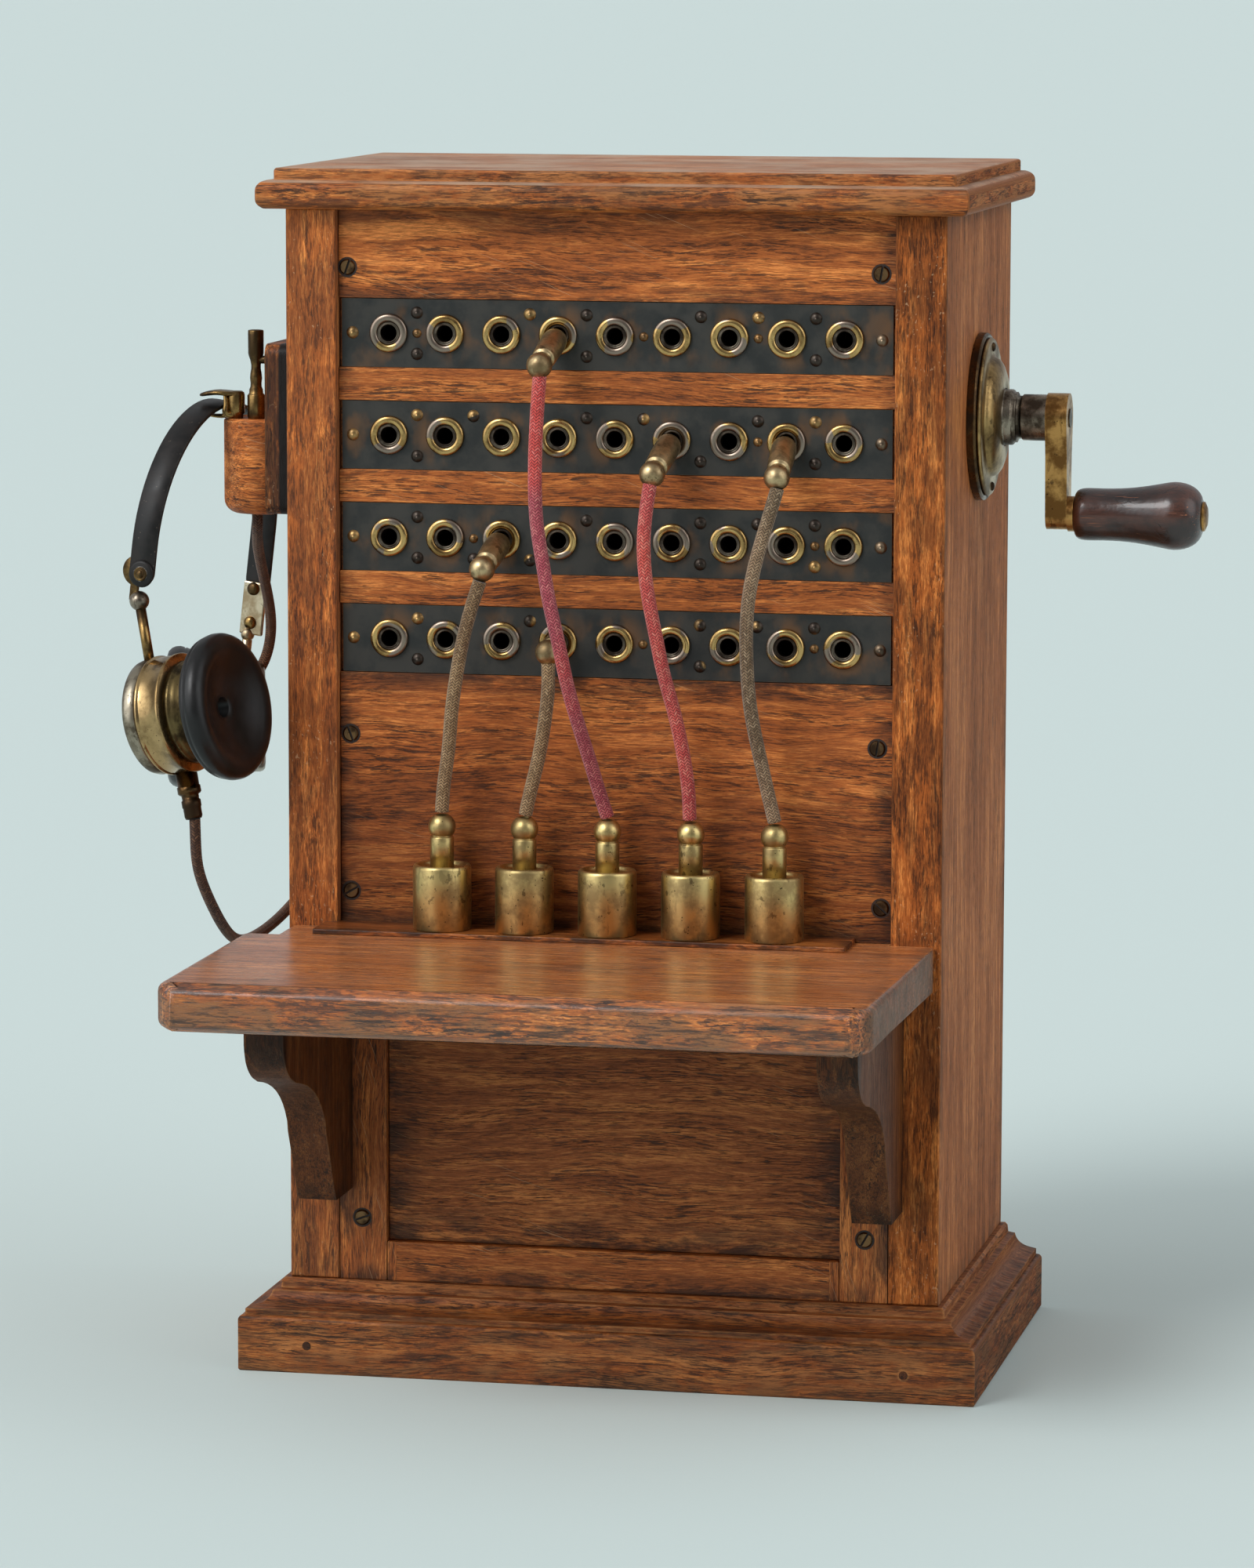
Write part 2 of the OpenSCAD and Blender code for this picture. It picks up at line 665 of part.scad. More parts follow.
// Knuckles on the frame's side of each hinge, with their leaf and pin
module door_hinges() {
    leaf = 13;
    relief = 0.3;
    color("goldenrod") for (z = hinge_zs) {
        difference() {
            translate([-bay - leaf, back, z]) cube([leaf, 1.2, hinge_h]);
            translate([-bay, hinge_y, z + hinge_h / 3])
                cylinder(d = knuckle_d + 2 * relief, h = hinge_h / 3);
        }
        for (k = [0, 2]) translate([-bay, hinge_y, z + k * hinge_h / 3])
            cylinder(d = knuckle_d, h = hinge_h / 3);
        translate([-bay, hinge_y, z]) cylinder(d = knuckle_d * 0.5, h = hinge_h);
    }
}

module door_leaves() {
    leaf = 13;
    lift = 0.1;
    color("goldenrod") for (z = hinge_zs) difference() {
        union() {
            translate([-bay, back, z + hinge_h / 3 + lift])
                cube([leaf, 1.2, hinge_h / 3 - 2 * lift]);
            translate([-bay, hinge_y, z + hinge_h / 3 + lift])
                cylinder(d = knuckle_d, h = hinge_h / 3 - 2 * lift);
        }
        translate([-bay, hinge_y, z]) cylinder(d = knuckle_d * 0.5 + 2 * run_clear, h = hinge_h);
    }
}

module door_knob() {
    color("goldenrod") translate([bay - 16, back, (door_low + door_top) / 2])
        rotate([-90, 0, 0]) rotate_extrude()
            polygon(concat([[0, 0], [knob_d * 0.36, 0], [knob_d * 0.36, 1], [knob_d * 0.2, 2],
                [knob_d * 0.2, 4]], curve([knob_d * 0.3, 5], [knob_d * 0.5, 6],
                [knob_d * 0.54, 10], [0, 11.5], 8)));
}

// Slotted screw head seen from the front
module screw_head(x, y, z, d) {
    slot_w = 0.8;
    translate([x, y, z]) rotate([90, 0, 0]) difference() {
        rotate_extrude() polygon([[0, 0], [d / 2, 0], [d / 2 * 0.96, 0.3], [d / 4, 0.8], [0, 0.9]]);
        rotate([0, 0, 70]) translate([-d, -slot_w / 2, 0.35]) cube([2 * d, slot_w, 1]);
    }
}

module wood_screws() {
    d = 6.2;
    left = -bay + 4.8;
    right = bay - 4.8;
    low_y = front + stile_inset;
    color("darkgoldenrod") {
        screw_head(left - 0.7, face, field_top + 13, d);
        screw_head(right - 1.7, face, field_top + 13, d);
        for (z = [shelf_top + 15, shelf_top + 82]) screw_head(left, face, z, d);
        screw_head(right, face, shelf_top + 15, d);
        screw_head(right - 2, face, shelf_top + 82, d);
        for (x = [left + 5.2, right - 5.2]) screw_head(x, low_y, floor_z + 27, d);
    }
}

module jack_strips() {
    color("darkslategray") for (r = [1:rows]) difference() {
        translate([-strip_x, strip_front, row_z(r) - strip_h / 2]) cube([2 * strip_x, strip_t, strip_h]);
        for (i = [1:cols]) translate([jack_x(i), strip_front - 1, row_z(r)]) rotate([-90, 0, 0])
            cylinder(d = jack_barrel + 2 * hole_clear, h = strip_t + 2);
    }
}

// A jack: a rounded rim over the strip and a barrel through the board, with one bore
module jack() {
    rr = rim_d / 2;
    br = jack_bore / 2;
    tube = jack_barrel / 2;
    mid = (rr + br + 0.9) / 2;
    half = (rr - br - 0.9) / 2;
    arch = [for (a = [160:-20:0]) [mid + half * cos(a), rim_h * sin(a)]];
    rotate([90, 0, 0]) rotate_extrude()
        polygon(concat([[br, -strip_t - barrel_l], [br, 0.5], [br + 0.6, 0.9]], arch,
            [[tube, 0], [tube, -strip_t - barrel_l]]));
}

module jack_row(r) {
    color("goldenrod") for (i = [1:cols]) translate([jack_x(i), strip_front, row_z(r)]) jack();
}

// Rivets as [row, jack to the left of the gap, level]: level 1 is above the row, -1 below, 0 on it
rivet_marks = [[1, 1, 1], [1, 1, -1], [1, 1, 0], [1, 3, 1], [1, 4, 1], [1, 4, -1], [1, 5, 0],
    [1, 6, 1], [1, 7, 1], [1, 7, 0], [1, 8, 1], [1, 8, -1], [2, 1, 1], [2, 2, 1], [2, 4, 1],
    [2, 5, 1], [2, 7, 1], [2, 8, 1], [2, 1, -1], [2, 6, -1], [2, 8, -1], [2, 7, 0],
    [3, 1, 1], [3, 1, -1], [3, 2, 0], [3, 2, -1], [3, 3, -1], [3, 4, 1], [3, 6, 1], [3, 6, -1],
    [3, 7, 1], [3, 8, 1], [3, 8, -1], [3, 8, 0], [4, 1, 1], [4, 1, -1], [4, 3, 1], [4, 5, 0],
    [4, 6, 1], [4, 6, -1], [4, 7, 1], [4, 8, 1], [4, 8, 0]];

module rivet(x, z, d) {
    translate([x, strip_front, z]) rotate([90, 0, 0]) intersection() {
        translate([0, 0, -d * 0.32]) sphere(d = d * 1.19);
        cylinder(d = d * 2, h = d);
    }
}

module strip_rivets() {
    color("darkgoldenrod") {
        for (r = [1:rows], s = [-1, 1]) rivet(s * (strip_x - 4.6), row_z(r), rivet_d);
        for (m = rivet_marks)
            rivet(jack_x(m[1]) + jack_pitch / 2, row_z(m[0]) + m[2] * rivet_rise,
                m[2] == 0 ? rivet_d * 0.75 : rivet_d);
    }
}

// Contact springs: an insulating block behind each barrel with two bent leaves
module jack_springs() {
    y = strip_front + strip_t + barrel_l;
    color("silver") for (r = [1:rows], i = [1:cols]) translate([jack_x(i), y, row_z(r)]) {
        translate([-5, 0, jack_barrel / 2 - 1.6]) cube([10, 12, 5]);
        for (s = [0, 1]) translate([-2.5, 12, jack_barrel / 2 - 1 + s * 2.4]) cube([5, 14, 0.8]);
    }
}

module seat_profile() {
    r = seat_d / 2;
    in_r = r - seat_wall;
    polygon([[0, 0], [r - 0.5, 0], [r, 0.5], [r, seat_h - 1.2], [r - 0.6, seat_h],
        [in_r, seat_h], [in_r, seat_h - seat_recess], [stem_d / 2, seat_h - seat_recess],
        [stem_d / 2, 3], [0, 3]]);
}

module plug_seats() {
    color("darkgoldenrod") for (i = [1:5])
        translate([seat_x(i), seat_y, seat_z]) rotate_extrude($fn = 64) seat_profile();
}

module seat_stems() {
    r = stem_d / 2;
    br = stem_ball_d / 2;
    h = seat_h + stem_rise;
    ball = stem_ball_z - seat_z;
    low = asin((h - ball) / br);
    arc = [for (k = [0:8]) let (a = low + (76 - low) * k / 8) [br * cos(a), ball + br * sin(a)]];
    color("goldenrod") for (i = [1:5]) translate([seat_x(i), seat_y, seat_z])
        rotate_extrude() polygon(concat([[0, 3], [r - 0.02, 3], [r - 0.02, h]], arc,
            [[0, ball + br * sin(76)]]));
}

// A plug: a straight shank on the bottom of the bore and a drooping handle that ends in a ball
module plug(i) {
    p = plug_rest[i - 1];
    shank_drop = (jack_bore - shank_d) / 2 - plug_clear;
    mouth = strip_front - 0.5;
    color("darkgoldenrod") translate([jack_x(p[1]), mouth, row_z(p[0]) - shank_drop]) {
        rotate([-90, 0, 0]) cylinder(d = shank_d, h = shank_l);
        translate([0, shank_l, 0]) sphere(d = shank_d);
        rotate([90, 0, 0]) cylinder(d = shank_d, h = 3.4);
        translate([0, -3.2, 0]) rotate([p[2], 0, p[3]]) rotate([90, 0, 0]) union() {
            cylinder(d = sleeve_d, h = p[4] - 8.5);
            translate([0, 0, p[4] - 9]) cylinder(d = sleeve_d * 0.7, h = 6);
            translate([0, 0, p[4] - 3.2]) sphere(d = plug_ball_d);
        }
    }
}

module escutcheon_ring() {
    color("dimgray") turned_x([[half_w, 8], [half_w, ring_d / 2], [half_w + ring_t - 0.8, ring_d / 2],
        [half_w + ring_t, ring_d / 2 - 0.8], [half_w + ring_t, 8]]);
}

module escutcheon() {
    f = flange_x;
    t = flange_x + flange_t;
    rf = flange_d / 2;
    rd = dome_d / 2;
    rb = boss_d / 2;
    bore_r = shaft_d / 2 + run_clear;
    dome = curve([t + 0.3, rd], [t + 2.2, rd - 0.2], [boss_x - 0.6, rd * 0.72],
        [boss_x, rb + 1.5], 8);
    color("darkgoldenrod") difference() {
        turned_x(concat([[f, bore_r], [f, rf - 0.4], [f + 0.4, rf], [t, rf - 0.6]], dome,
            [[boss_x, rb], [boss_x + boss_l, rb], [boss_x + boss_l, hub_d / 2 - 0.7],
            [boss_x + boss_l + 1.6, hub_d / 2 - 0.7], [boss_x + boss_l + 1.6, bore_r]]));
        for (s = [-1, 1]) translate([t - 0.6, 0, s * (flange_d / 2 - 4.4)]) rotate([0, 90, 0])
            cylinder(d = 4.2, h = 3);
    }
}

// The crank's shaft with its hub, turned in one piece
module crank_shaft() {
    r = shaft_d / 2;
    x0 = rear_plate_x - 2;
    color("lightslategray") turned_x([[x0, 0], [x0, r], [hub_x, r], [hub_x, hub_d / 2 - 0.5],
        [hub_x + 0.5, hub_d / 2], [arm_x, hub_d / 2], [arm_x, r], [arm_face + 0.5, r], [arm_face + 0.5, 0]]);
}

module crank_arm() {
    top_r = arm_top_d / 2;
    low_r = arm_low_d / 2;
    pin_r = pin_d / 2;
    color("darkgoldenrod") {
        rotate([90, 0, 90]) translate([0, 0, arm_x]) linear_extrude(arm_t) difference() {
            union() {
                circle(top_r);
                translate([0, -throw]) circle(low_r);
                polygon([[-top_r * 0.98, -2], [top_r * 0.98, -2], [top_r * 0.74, -16],
                    [low_r, -throw], [-low_r, -throw], [-top_r * 0.74, -16]]);
            }
            circle(shaft_d / 2);
        }
        translate([0, 0, -throw]) turned_x([[arm_face, 0], [arm_face, low_r + 0.8],
            [arm_face + washer_t, low_r + 0.8], [arm_face + washer_t, pin_r],
            [pin_head_x, pin_r], [pin_head_x, 6.4], [pin_head_x + 0.8, 6.2],
            [pin_head_x + 1.8, 4], [pin_head_x + 2, 0]]);
    }
}

module crank_grip() {
    a = grip_in_d / 2;
    b = grip_out_d / 2;
    l = grip_l;
    r = pin_d / 2 + run_clear;
    inner = curve([0, a * 0.72], [0.3, a * 0.95], [2.5, a], [6, a], 6);
    waist = curve([8, a], [l * 0.42, a * 0.96], [l * 0.56, b * 0.86], [l * 0.74, b * 0.985], 10);
    bulb = curve([l * 0.78, b], [l * 0.9, b], [l * 0.98, b * 0.8], [l, b * 0.5], 8);
    color("maroon") translate([grip_x, 0, -throw])
        turned_x(concat([[0, r]], inner, waist, bulb, [[l, r]]));
}

module generator_frame() {
    w = 2 * (armature_d / 2 + magnet_t + 6);
    low = armature_z - armature_d / 2 - 8;
    high = crank_z + 14;
    gap = armature_d / 2 + pole_gap;
    color("darkgoldenrod") {
        for (x = [rear_plate_x, plate_x]) difference() {
            translate([x, crank_y - w / 2, low]) cube([plate_t, w, high - low]);
            translate([x - 1, crank_y, crank_z]) rotate([0, 90, 0])
                cylinder(r = shaft_d / 2 + run_clear, h = plate_t + 2);
            translate([x - 1, crank_y, armature_z]) rotate([0, 90, 0])
                cylinder(r = armature_shaft_d / 2 + run_clear, h = plate_t + 2);
        }
        translate([rear_plate_x, crank_y - w / 2, low - 4]) cube([bay - rear_plate_x, w, 4]);
        for (s = [0, 1]) translate([0, crank_y, 0]) mirror([0, s, 0])
            translate([rear_plate_x + plate_t, 0, 0]) intersection() {
                difference() {
                    translate([0, 2, armature_z - 9]) cube([plate_span, armature_d / 2 + 2.5, 18]);
                    translate([-1, 0, armature_z]) rotate([0, 90, 0])
                        cylinder(r = gap, h = plate_span + 2);
                }
                translate([-1, 0, armature_z - 20]) cube([plate_span + 2, 60, 40]);
            }
    }
}

// Horseshoe magnets that stand over the armature with their poles against the pole pieces
module generator_magnets() {
    in_r = armature_d / 2 + 4.6;
    out_r = in_r + magnet_t;
    low = armature_z - 9;
    mid = crank_z + 8;
    color("firebrick") for (i = [0:magnets - 1])
        translate([rear_plate_x + plate_t + (i + 0.5) * magnet_pitch - magnet_w / 2, crank_y, 0])
            rotate([90, 0, 90]) linear_extrude(magnet_w) difference() {
                union() {
                    translate([0, mid]) circle(out_r);
                    translate([-out_r, low]) square([2 * out_r, mid - low]);
                }
                translate([0, mid]) circle(in_r);
                translate([-in_r, low - 1]) square([2 * in_r, mid - low + 1]);
            }
}

module drive_gear() {
    color("goldenrod") translate([gear_x, crank_y, crank_z]) {
        difference() {
            gear(gear_teeth, gear_w, shaft_d / 2, 270);
            for (a = [0:60:300]) rotate([a, 0, 0]) translate([-1, gear_r * 0.6, 0]) rotate([0, 90, 0])
                cylinder(r = gear_r * 0.17, h = gear_w + 2);
        }
    }
}

module armature() {
    r = armature_shaft_d / 2;
    inner = plate_span - 2;
    color("slategray") translate([0, crank_y, armature_z]) {
        translate([rear_plate_x - 2, 0, 0]) rotate([0, 90, 0])
            cylinder(r = r, h = gear_x + gear_w - rear_plate_x + 2.5);
        translate([rear_plate_x + plate_t + 1, 0, 0]) difference() {
            rotate([0, 90, 0]) cylinder(d = armature_d, h = inner);
            for (s = [0, 1]) mirror([0, s, 0]) translate([-1, r + 1.5, -4.5])
                cube([inner + 2, armature_d, 9]);
        }
        for (s = [0, 1]) mirror([0, s, 0]) translate([rear_plate_x + plate_t + 3, r + 1.5, -4])
            cube([inner - 4, armature_d / 2 - r - 4, 8]);
        translate([gear_x, 0, 0]) gear(pinion_teeth, gear_w, r, 90 + 180 / pinion_teeth);
    }
}

module hook_board() {
    color("saddlebrown") translate([wall_x, hook_mid - hook_board_w / 2, hook_board_z])
        rotate([90, 0, 90]) rounded_block([hook_board_w, hook_board_h, hook_board_t], 5);
}

module hook_block() {
    soft = 6;
    color("sienna") difference() {
        translate([block_x, hook_mid, block_low]) rotate_extrude($fn = 64)
            polygon(concat([[0, 0]],
                [for (a = [0:15:90]) [block_r - soft + soft * sin(a), soft - soft * cos(a)]],
                [[block_r, block_h - 1], [block_r - 1, block_h], [0, block_h]]));
        translate([wall_x, hook_mid - 30, block_low - 1]) cube([60, 60, block_h + 2]);
        translate([lead_2[0][0], front + lead_2[0][1], block_low - 1])
            cylinder(d = lead_d + 2 * lead_clear, h = 9);
        translate([lever_at[0], lever_at[1], block_top - 16])
            cylinder(r = stem_r + run_clear, h = 17);
    }
}

module hook_post() {
    color("darkgoldenrod") {
        translate([post_at[0], post_at[1], block_top]) rotate_extrude() difference() {
            polygon(concat([[0, 0], [3, 0], [3.3, 0.6], [3.3, 10.2], [3.1, 10.8], [3.2, 12.4],
                [2.4, 14.4]], curve([2.3, 17], [2.1, 20], [3.1, 23], [3.4, 27], 6),
                [[3.4, 37], [3, 37.6], [0, 37.6]]));
            translate([0, 31]) square([2.2, 10]);
        }
        translate([post_at[0], post_at[1], block_top + 25]) rotate([0, 90, 0])
            cylinder(d = 3.4, h = wall_x - post_at[0]);
    }
}

// The switch hook: a plunger in the block, with a lip over the headband and a jaw under it
module headset_hook() {
    low = block_top + lever_gap;
    lip = crown[0] - 1;
    jaw = crown[0] - 2.5;
    side = lever_at[0] - 7.2;
    color("goldenrod") {
        translate([lever_at[0], lever_at[1], block_top - 12]) cylinder(r = stem_r, h = 14);
        translate([lever_at[0], lever_at[1], low]) cylinder(d = 7.8, h = lever_top - low);
        translate([0, lever_at[1] + lever_w / 2, 0]) rotate([90, 0, 0]) linear_extrude(lever_w) {
            polygon(concat([[lever_at[0] + 2, lever_top]], curve([lip - 2, lever_top - 0.4],
                [lip - 5, lever_top], [lip - 5, lever_top + 2], [lip, lever_top + 2.8], 6),
                [[lever_at[0] + 3.8, lever_top + 2.4], [lever_at[0] + 3.8, lever_top]]));
            polygon(concat([[lever_at[0], low], [lever_at[0], jaw_top]],
                curve([jaw, jaw_top], [jaw, jaw_top - 3], [side - 2, low - 2],
                    [side, low - 5], 8), [[side, low]]));
        }
    }
}

// The headband in its own frame: an arch in the YZ plane with straight ends
module band_outline() {
    r = band_half;
    difference() {
        union() {
            translate([0, -r]) circle(r, $fn = 96);
            translate([-r, -r - leg_1]) square([r, leg_1]);
            translate([0, -r - leg_2]) square([r, leg_2]);
        }
        translate([0, -r]) circle(r - band_t, $fn = 96);
        translate([-r + band_t, -r * 3]) square([2 * (r - band_t), r * 2]);
        translate([-r - 1, -r * 3]) square([r + 1, r * 2 - leg_1]);
        translate([0, -r * 3]) square([r + 1, r * 2 - leg_2]);
    }
}

module at_crown() {
    translate(crown) rotate([0, 0, turn]) rotate([0, lean, 0]) children();
}

module headband() {
    color("black") at_crown() rotate([90, 0, 90]) translate([0, 0, -band_w / 2])
        linear_extrude(band_w) band_outline();
}

// A straight rod between two points
module rod(a, b, d) {
    v = b - a;
    translate(a) rotate([0, acos(v[2] / norm(v)), atan2(v[1], v[0])]) cylinder(d = d, h = norm(v));
}

// A domed rivet head that stands towards the front on a face across the Y axis
module band_rivet(x, y, z) {
    translate([x, y, z]) rotate([90, 0, 0]) rotate_extrude()
        polygon([[0, 0], [2.9, 0], [2.7, 0.7], [2, 1.3], [1, 1.6], [0, 1.7]]);
}

module band_fittings() {
    end_1 = -band_half - leg_1;
    end_2 = -band_half - leg_2;
    inner_2 = band_half - band_t - lug_t;
    color("darkgoldenrod") {
        at_crown() {
            band_rivet(2.5, -band_half, end_1 + 7);
            band_rivet(-1, -band_half, end_1 + 11);
            translate([-4, -band_half, end_1 + 2.5]) rotate([90, 0, 0]) cylinder(d = 9, h = 2);
            translate([-3, -band_half + band_t, end_1 - 4]) cube([5, lug_t, 14]);
            translate([-band_w / 2 + 0.3, inner_2, end_2 - 19]) cube([band_w - 0.6, lug_t, 23.5]);
            for (z = [end_2 + 1.5, end_2 - 13.5]) band_rivet(-0.5, inner_2, z);
        }
        translate(rod_1_top) sphere(d = 8.6);
        rod(rod_1_top, rod_1_end + rod_1_way * rod_in, rod_d);
        translate(rod_2_top) sphere(d = 6);
        rod(rod_2_top, rod_2_end + rod_2_way * rod_in, rod_d);
    }
}

module aimed(at, aim) {
    translate(at) rotate([0, -aim[1], aim[0]]) children();
}

// A receiver's case with the socket that it swivels in on its rod
module receiver_case(at, aim, rod_end, rod_way) {
    r = case_d / 2;
    l = case_l;
    difference() {
        aimed(at, aim) turned_x([[0, 0], [0, r - 2.5], [0.8, r - 1], [4, r - 0.5],
            [4.4, r + 0.6], [6.2, r + 0.6], [6.6, r - 0.2], [l, r - 0.2], [l, 0]]);
        rod(rod_end - rod_way * 12, rod_end + rod_way * (rod_in + 0.5), rod_d + 2 * run_clear);
    }
}

module receiver_case_1() {
    way = rod_1_way;
    color("goldenrod") {
        receiver_case(case_1, case_1_aim, rod_1_end, rod_1_way);
        rod(ferrule_1 - way * 8, ferrule_1 + way * 4, 9.2);
        rod(ferrule_1 + way * 3.9, ferrule_1 + way * 11.4, 7.6);
    }
}

module receiver_case_2() {
    color("goldenrod") receiver_case(case_2, case_2_aim, rod_2_end, rod_2_way);
}

module ear_cap(at, aim) {
    r = cap_d / 2;
    l = receiver_l;
    l0 = case_l + 0.05;
    neck = case_d / 2 - 3;
    rim = curve([l - 10.5, r - 5], [l - 9.5, r + 0.6], [l - 1, r + 0.6], [l, r - 6], 10);
    bowl = curve([l - 0.6, r - 9], [l - 3, r * 0.5], [l - 7, r * 0.3], [l - 7.5, 4.5], 8);
    color("black") aimed(at, aim) turned_x(concat([[l0, 0], [l0, neck], [l - 15, neck - 4],
        [l - 12, neck - 1]], rim, bowl, [[l - 10, 4], [l - 10, 0]]));
}

module ear_cap_1() {
    ear_cap(case_1, case_1_aim);
}

module ear_cap_2() {
    ear_cap(case_2, case_2_aim);
}

module braided_cord(route, shade) {
    color(shade) cord(route, cord_d, 10, 17);
}

plinth();
wood_pegs();
plinth_moulding();
cornice();
left_side();
right_side();
top_rail();
jack_board();
front_panel();
lower_frame();
lower_panel();
shelf();
shelf_brackets();
seat_strip();
back_rails();
back_door();
door_hinges();
door_leaves();
door_knob();
wood_screws();
jack_strips();
jack_row(1);  // jack_row_1
jack_row(2);  // jack_row_2
jack_row(3);  // jack_row_3
jack_row(4);  // jack_row_4
strip_rivets();
jack_springs();
plug_seats();
seat_stems();
plug(1);  // plug_1
plug(2);  // plug_2
plug(3);  // plug_3
plug(4);  // plug_4
plug(5);  // plug_5
braided_cord(route_1, "olivedrab");  // cord_1
braided_cord(route_2, "olivedrab");  // cord_2
braided_cord(route_3, "crimson");  // cord_3
braided_cord(route_4, "red");  // cord_4
braided_cord(route_5, "tan");  // cord_5
at_crank() escutcheon_ring();
at_crank() escutcheon();
at_crank() crank_shaft();
at_crank() crank_arm();
at_crank() crank_grip();
generator_frame();
generator_magnets();
drive_gear();
armature();
hook_board();
hook_block();
hook_post();
headset_hook();
headband();
band_fittings();
receiver_case_1();
ear_cap_1();
receiver_case_2();
ear_cap_2();
lead(lead_1);  // headset_cord_1
lead(lead_2);  // headset_cord_2

module at_crank() {
    translate([0, crank_y, crank_z]) children();
}

module lead(route) {
    color("saddlebrown") cord(route, lead_d, 10, 8);
}
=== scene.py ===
# %% [markdown]
# # Tabletop telephone switchboard
#
# A small oak exchange for an operator's desk: plugs on braided cords joined one line to
# another, a crank rang the far bell, and the headset hung on a switch hook. The packed CAD
# parts are the frame here, and every size and every moving body comes from them. A CAD part
# can keep its mesh and only get a finish, or be remade in Blender where the real piece is
# rounder. The flat joinery keeps its mesh; turned brass, cords, the headset's band and the most
# worn boards are remade. Lengths are metres in the frame's own axes: +Z is up, the jack field
# faces -Y and the crank is on the +X side.

# %% The frame and its units
import math

import bmesh
import bpy
from mathutils import Matrix, Vector


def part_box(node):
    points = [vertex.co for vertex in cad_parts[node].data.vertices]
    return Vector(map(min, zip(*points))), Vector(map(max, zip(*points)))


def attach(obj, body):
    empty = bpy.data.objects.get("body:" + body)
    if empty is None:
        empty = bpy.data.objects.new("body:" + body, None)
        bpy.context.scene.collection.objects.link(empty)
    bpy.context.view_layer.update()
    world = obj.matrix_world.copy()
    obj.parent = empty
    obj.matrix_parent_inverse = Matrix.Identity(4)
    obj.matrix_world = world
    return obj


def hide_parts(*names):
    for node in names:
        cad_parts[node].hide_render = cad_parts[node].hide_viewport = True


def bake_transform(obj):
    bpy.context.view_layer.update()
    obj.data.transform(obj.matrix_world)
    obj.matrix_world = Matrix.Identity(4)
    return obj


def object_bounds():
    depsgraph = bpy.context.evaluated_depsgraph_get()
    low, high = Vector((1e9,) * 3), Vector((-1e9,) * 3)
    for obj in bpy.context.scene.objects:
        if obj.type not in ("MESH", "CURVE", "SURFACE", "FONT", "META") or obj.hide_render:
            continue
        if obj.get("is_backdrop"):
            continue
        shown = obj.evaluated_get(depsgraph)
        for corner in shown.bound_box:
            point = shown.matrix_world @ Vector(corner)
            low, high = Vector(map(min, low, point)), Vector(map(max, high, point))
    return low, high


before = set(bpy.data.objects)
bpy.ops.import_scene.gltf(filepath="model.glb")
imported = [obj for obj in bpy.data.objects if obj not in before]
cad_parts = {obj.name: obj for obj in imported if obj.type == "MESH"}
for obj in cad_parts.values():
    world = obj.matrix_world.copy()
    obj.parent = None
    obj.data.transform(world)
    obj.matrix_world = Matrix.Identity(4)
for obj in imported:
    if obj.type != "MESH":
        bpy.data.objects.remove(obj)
cad_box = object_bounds()
scene = bpy.context.scene
scene.view_settings.view_transform = "Standard"
MM = 0.001
print(len(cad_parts), "CAD nodes in the frame")

# %% [markdown]
# ## Colours
#
# Blender mixes colours as linear light, while a maker picks them on a screen. They could
# be written as linear numbers, but nobody reads those at a glance. So each colour is written as
# it looks on a screen, and this helper turns it into linear light.

# %% Screen colours
def srgb(red, green, blue):
    """A colour as it looks on a screen, 0 to 255, turned into linear light."""
    return tuple((c / 255 / 12.92 if c < 10.3 else ((c / 255 + 0.055) / 1.055) ** 2.4)
                 for c in (red, green, blue)) + (1.0,)


print("middle grey in linear light:", round(srgb(128, 128, 128)[0], 3))

# %% [markdown]
# ## Camera
#
# The board is shown a little from the right and a little from above, through a long lens that
# keeps its uprights nearly parallel. A camera could be placed by hand or told to track an empty,
# but two angles and a small roll, kept as numbers, give the same view each time.

# %% Camera
CAMERA_AT = Vector((0.5397, -2.6160, 0.6106))
CAMERA_AZIMUTH = math.radians(11.873)
CAMERA_ELEVATION = math.radians(7.820)
CAMERA_ROLL = math.radians(0.115)
CAMERA_LENS, SENSOR_WIDTH = 143.65, 36
NEAREST, FARTHEST = 0.1, 500


def place_camera():
    data = bpy.data.cameras.new("camera")
    data.lens = CAMERA_LENS
    data.sensor_width = SENSOR_WIDTH
    data.clip_start, data.clip_end = NEAREST, FARTHEST
    camera = bpy.data.objects.new("camera", data)
    scene.collection.objects.link(camera)
    a, e = CAMERA_AZIMUTH, CAMERA_ELEVATION
    back = Vector((math.sin(a) * math.cos(e), -math.cos(a) * math.cos(e), math.sin(e)))
    level = Vector((math.cos(a), math.sin(a), 0))
    right = level * math.cos(CAMERA_ROLL) + back.cross(level) * math.sin(CAMERA_ROLL)
    turned = Matrix((right, back.cross(right), back)).transposed()
    camera.matrix_world = Matrix.Translation(CAMERA_AT) @ turned.to_4x4()
    scene.camera = camera


place_camera()
print("camera stands", round(CAMERA_AT.length, 2), "m from the middle of the base")

# %% [markdown]
# ## A helper for shader nodes
#
# A finish or a sky is a tree of nodes. It could be wired by hand in the node editor, but thirty
# finishes would be slow to wire and hard to read again. This class adds one node per call and
# hands its socket on, so that a finish reads like a short recipe.

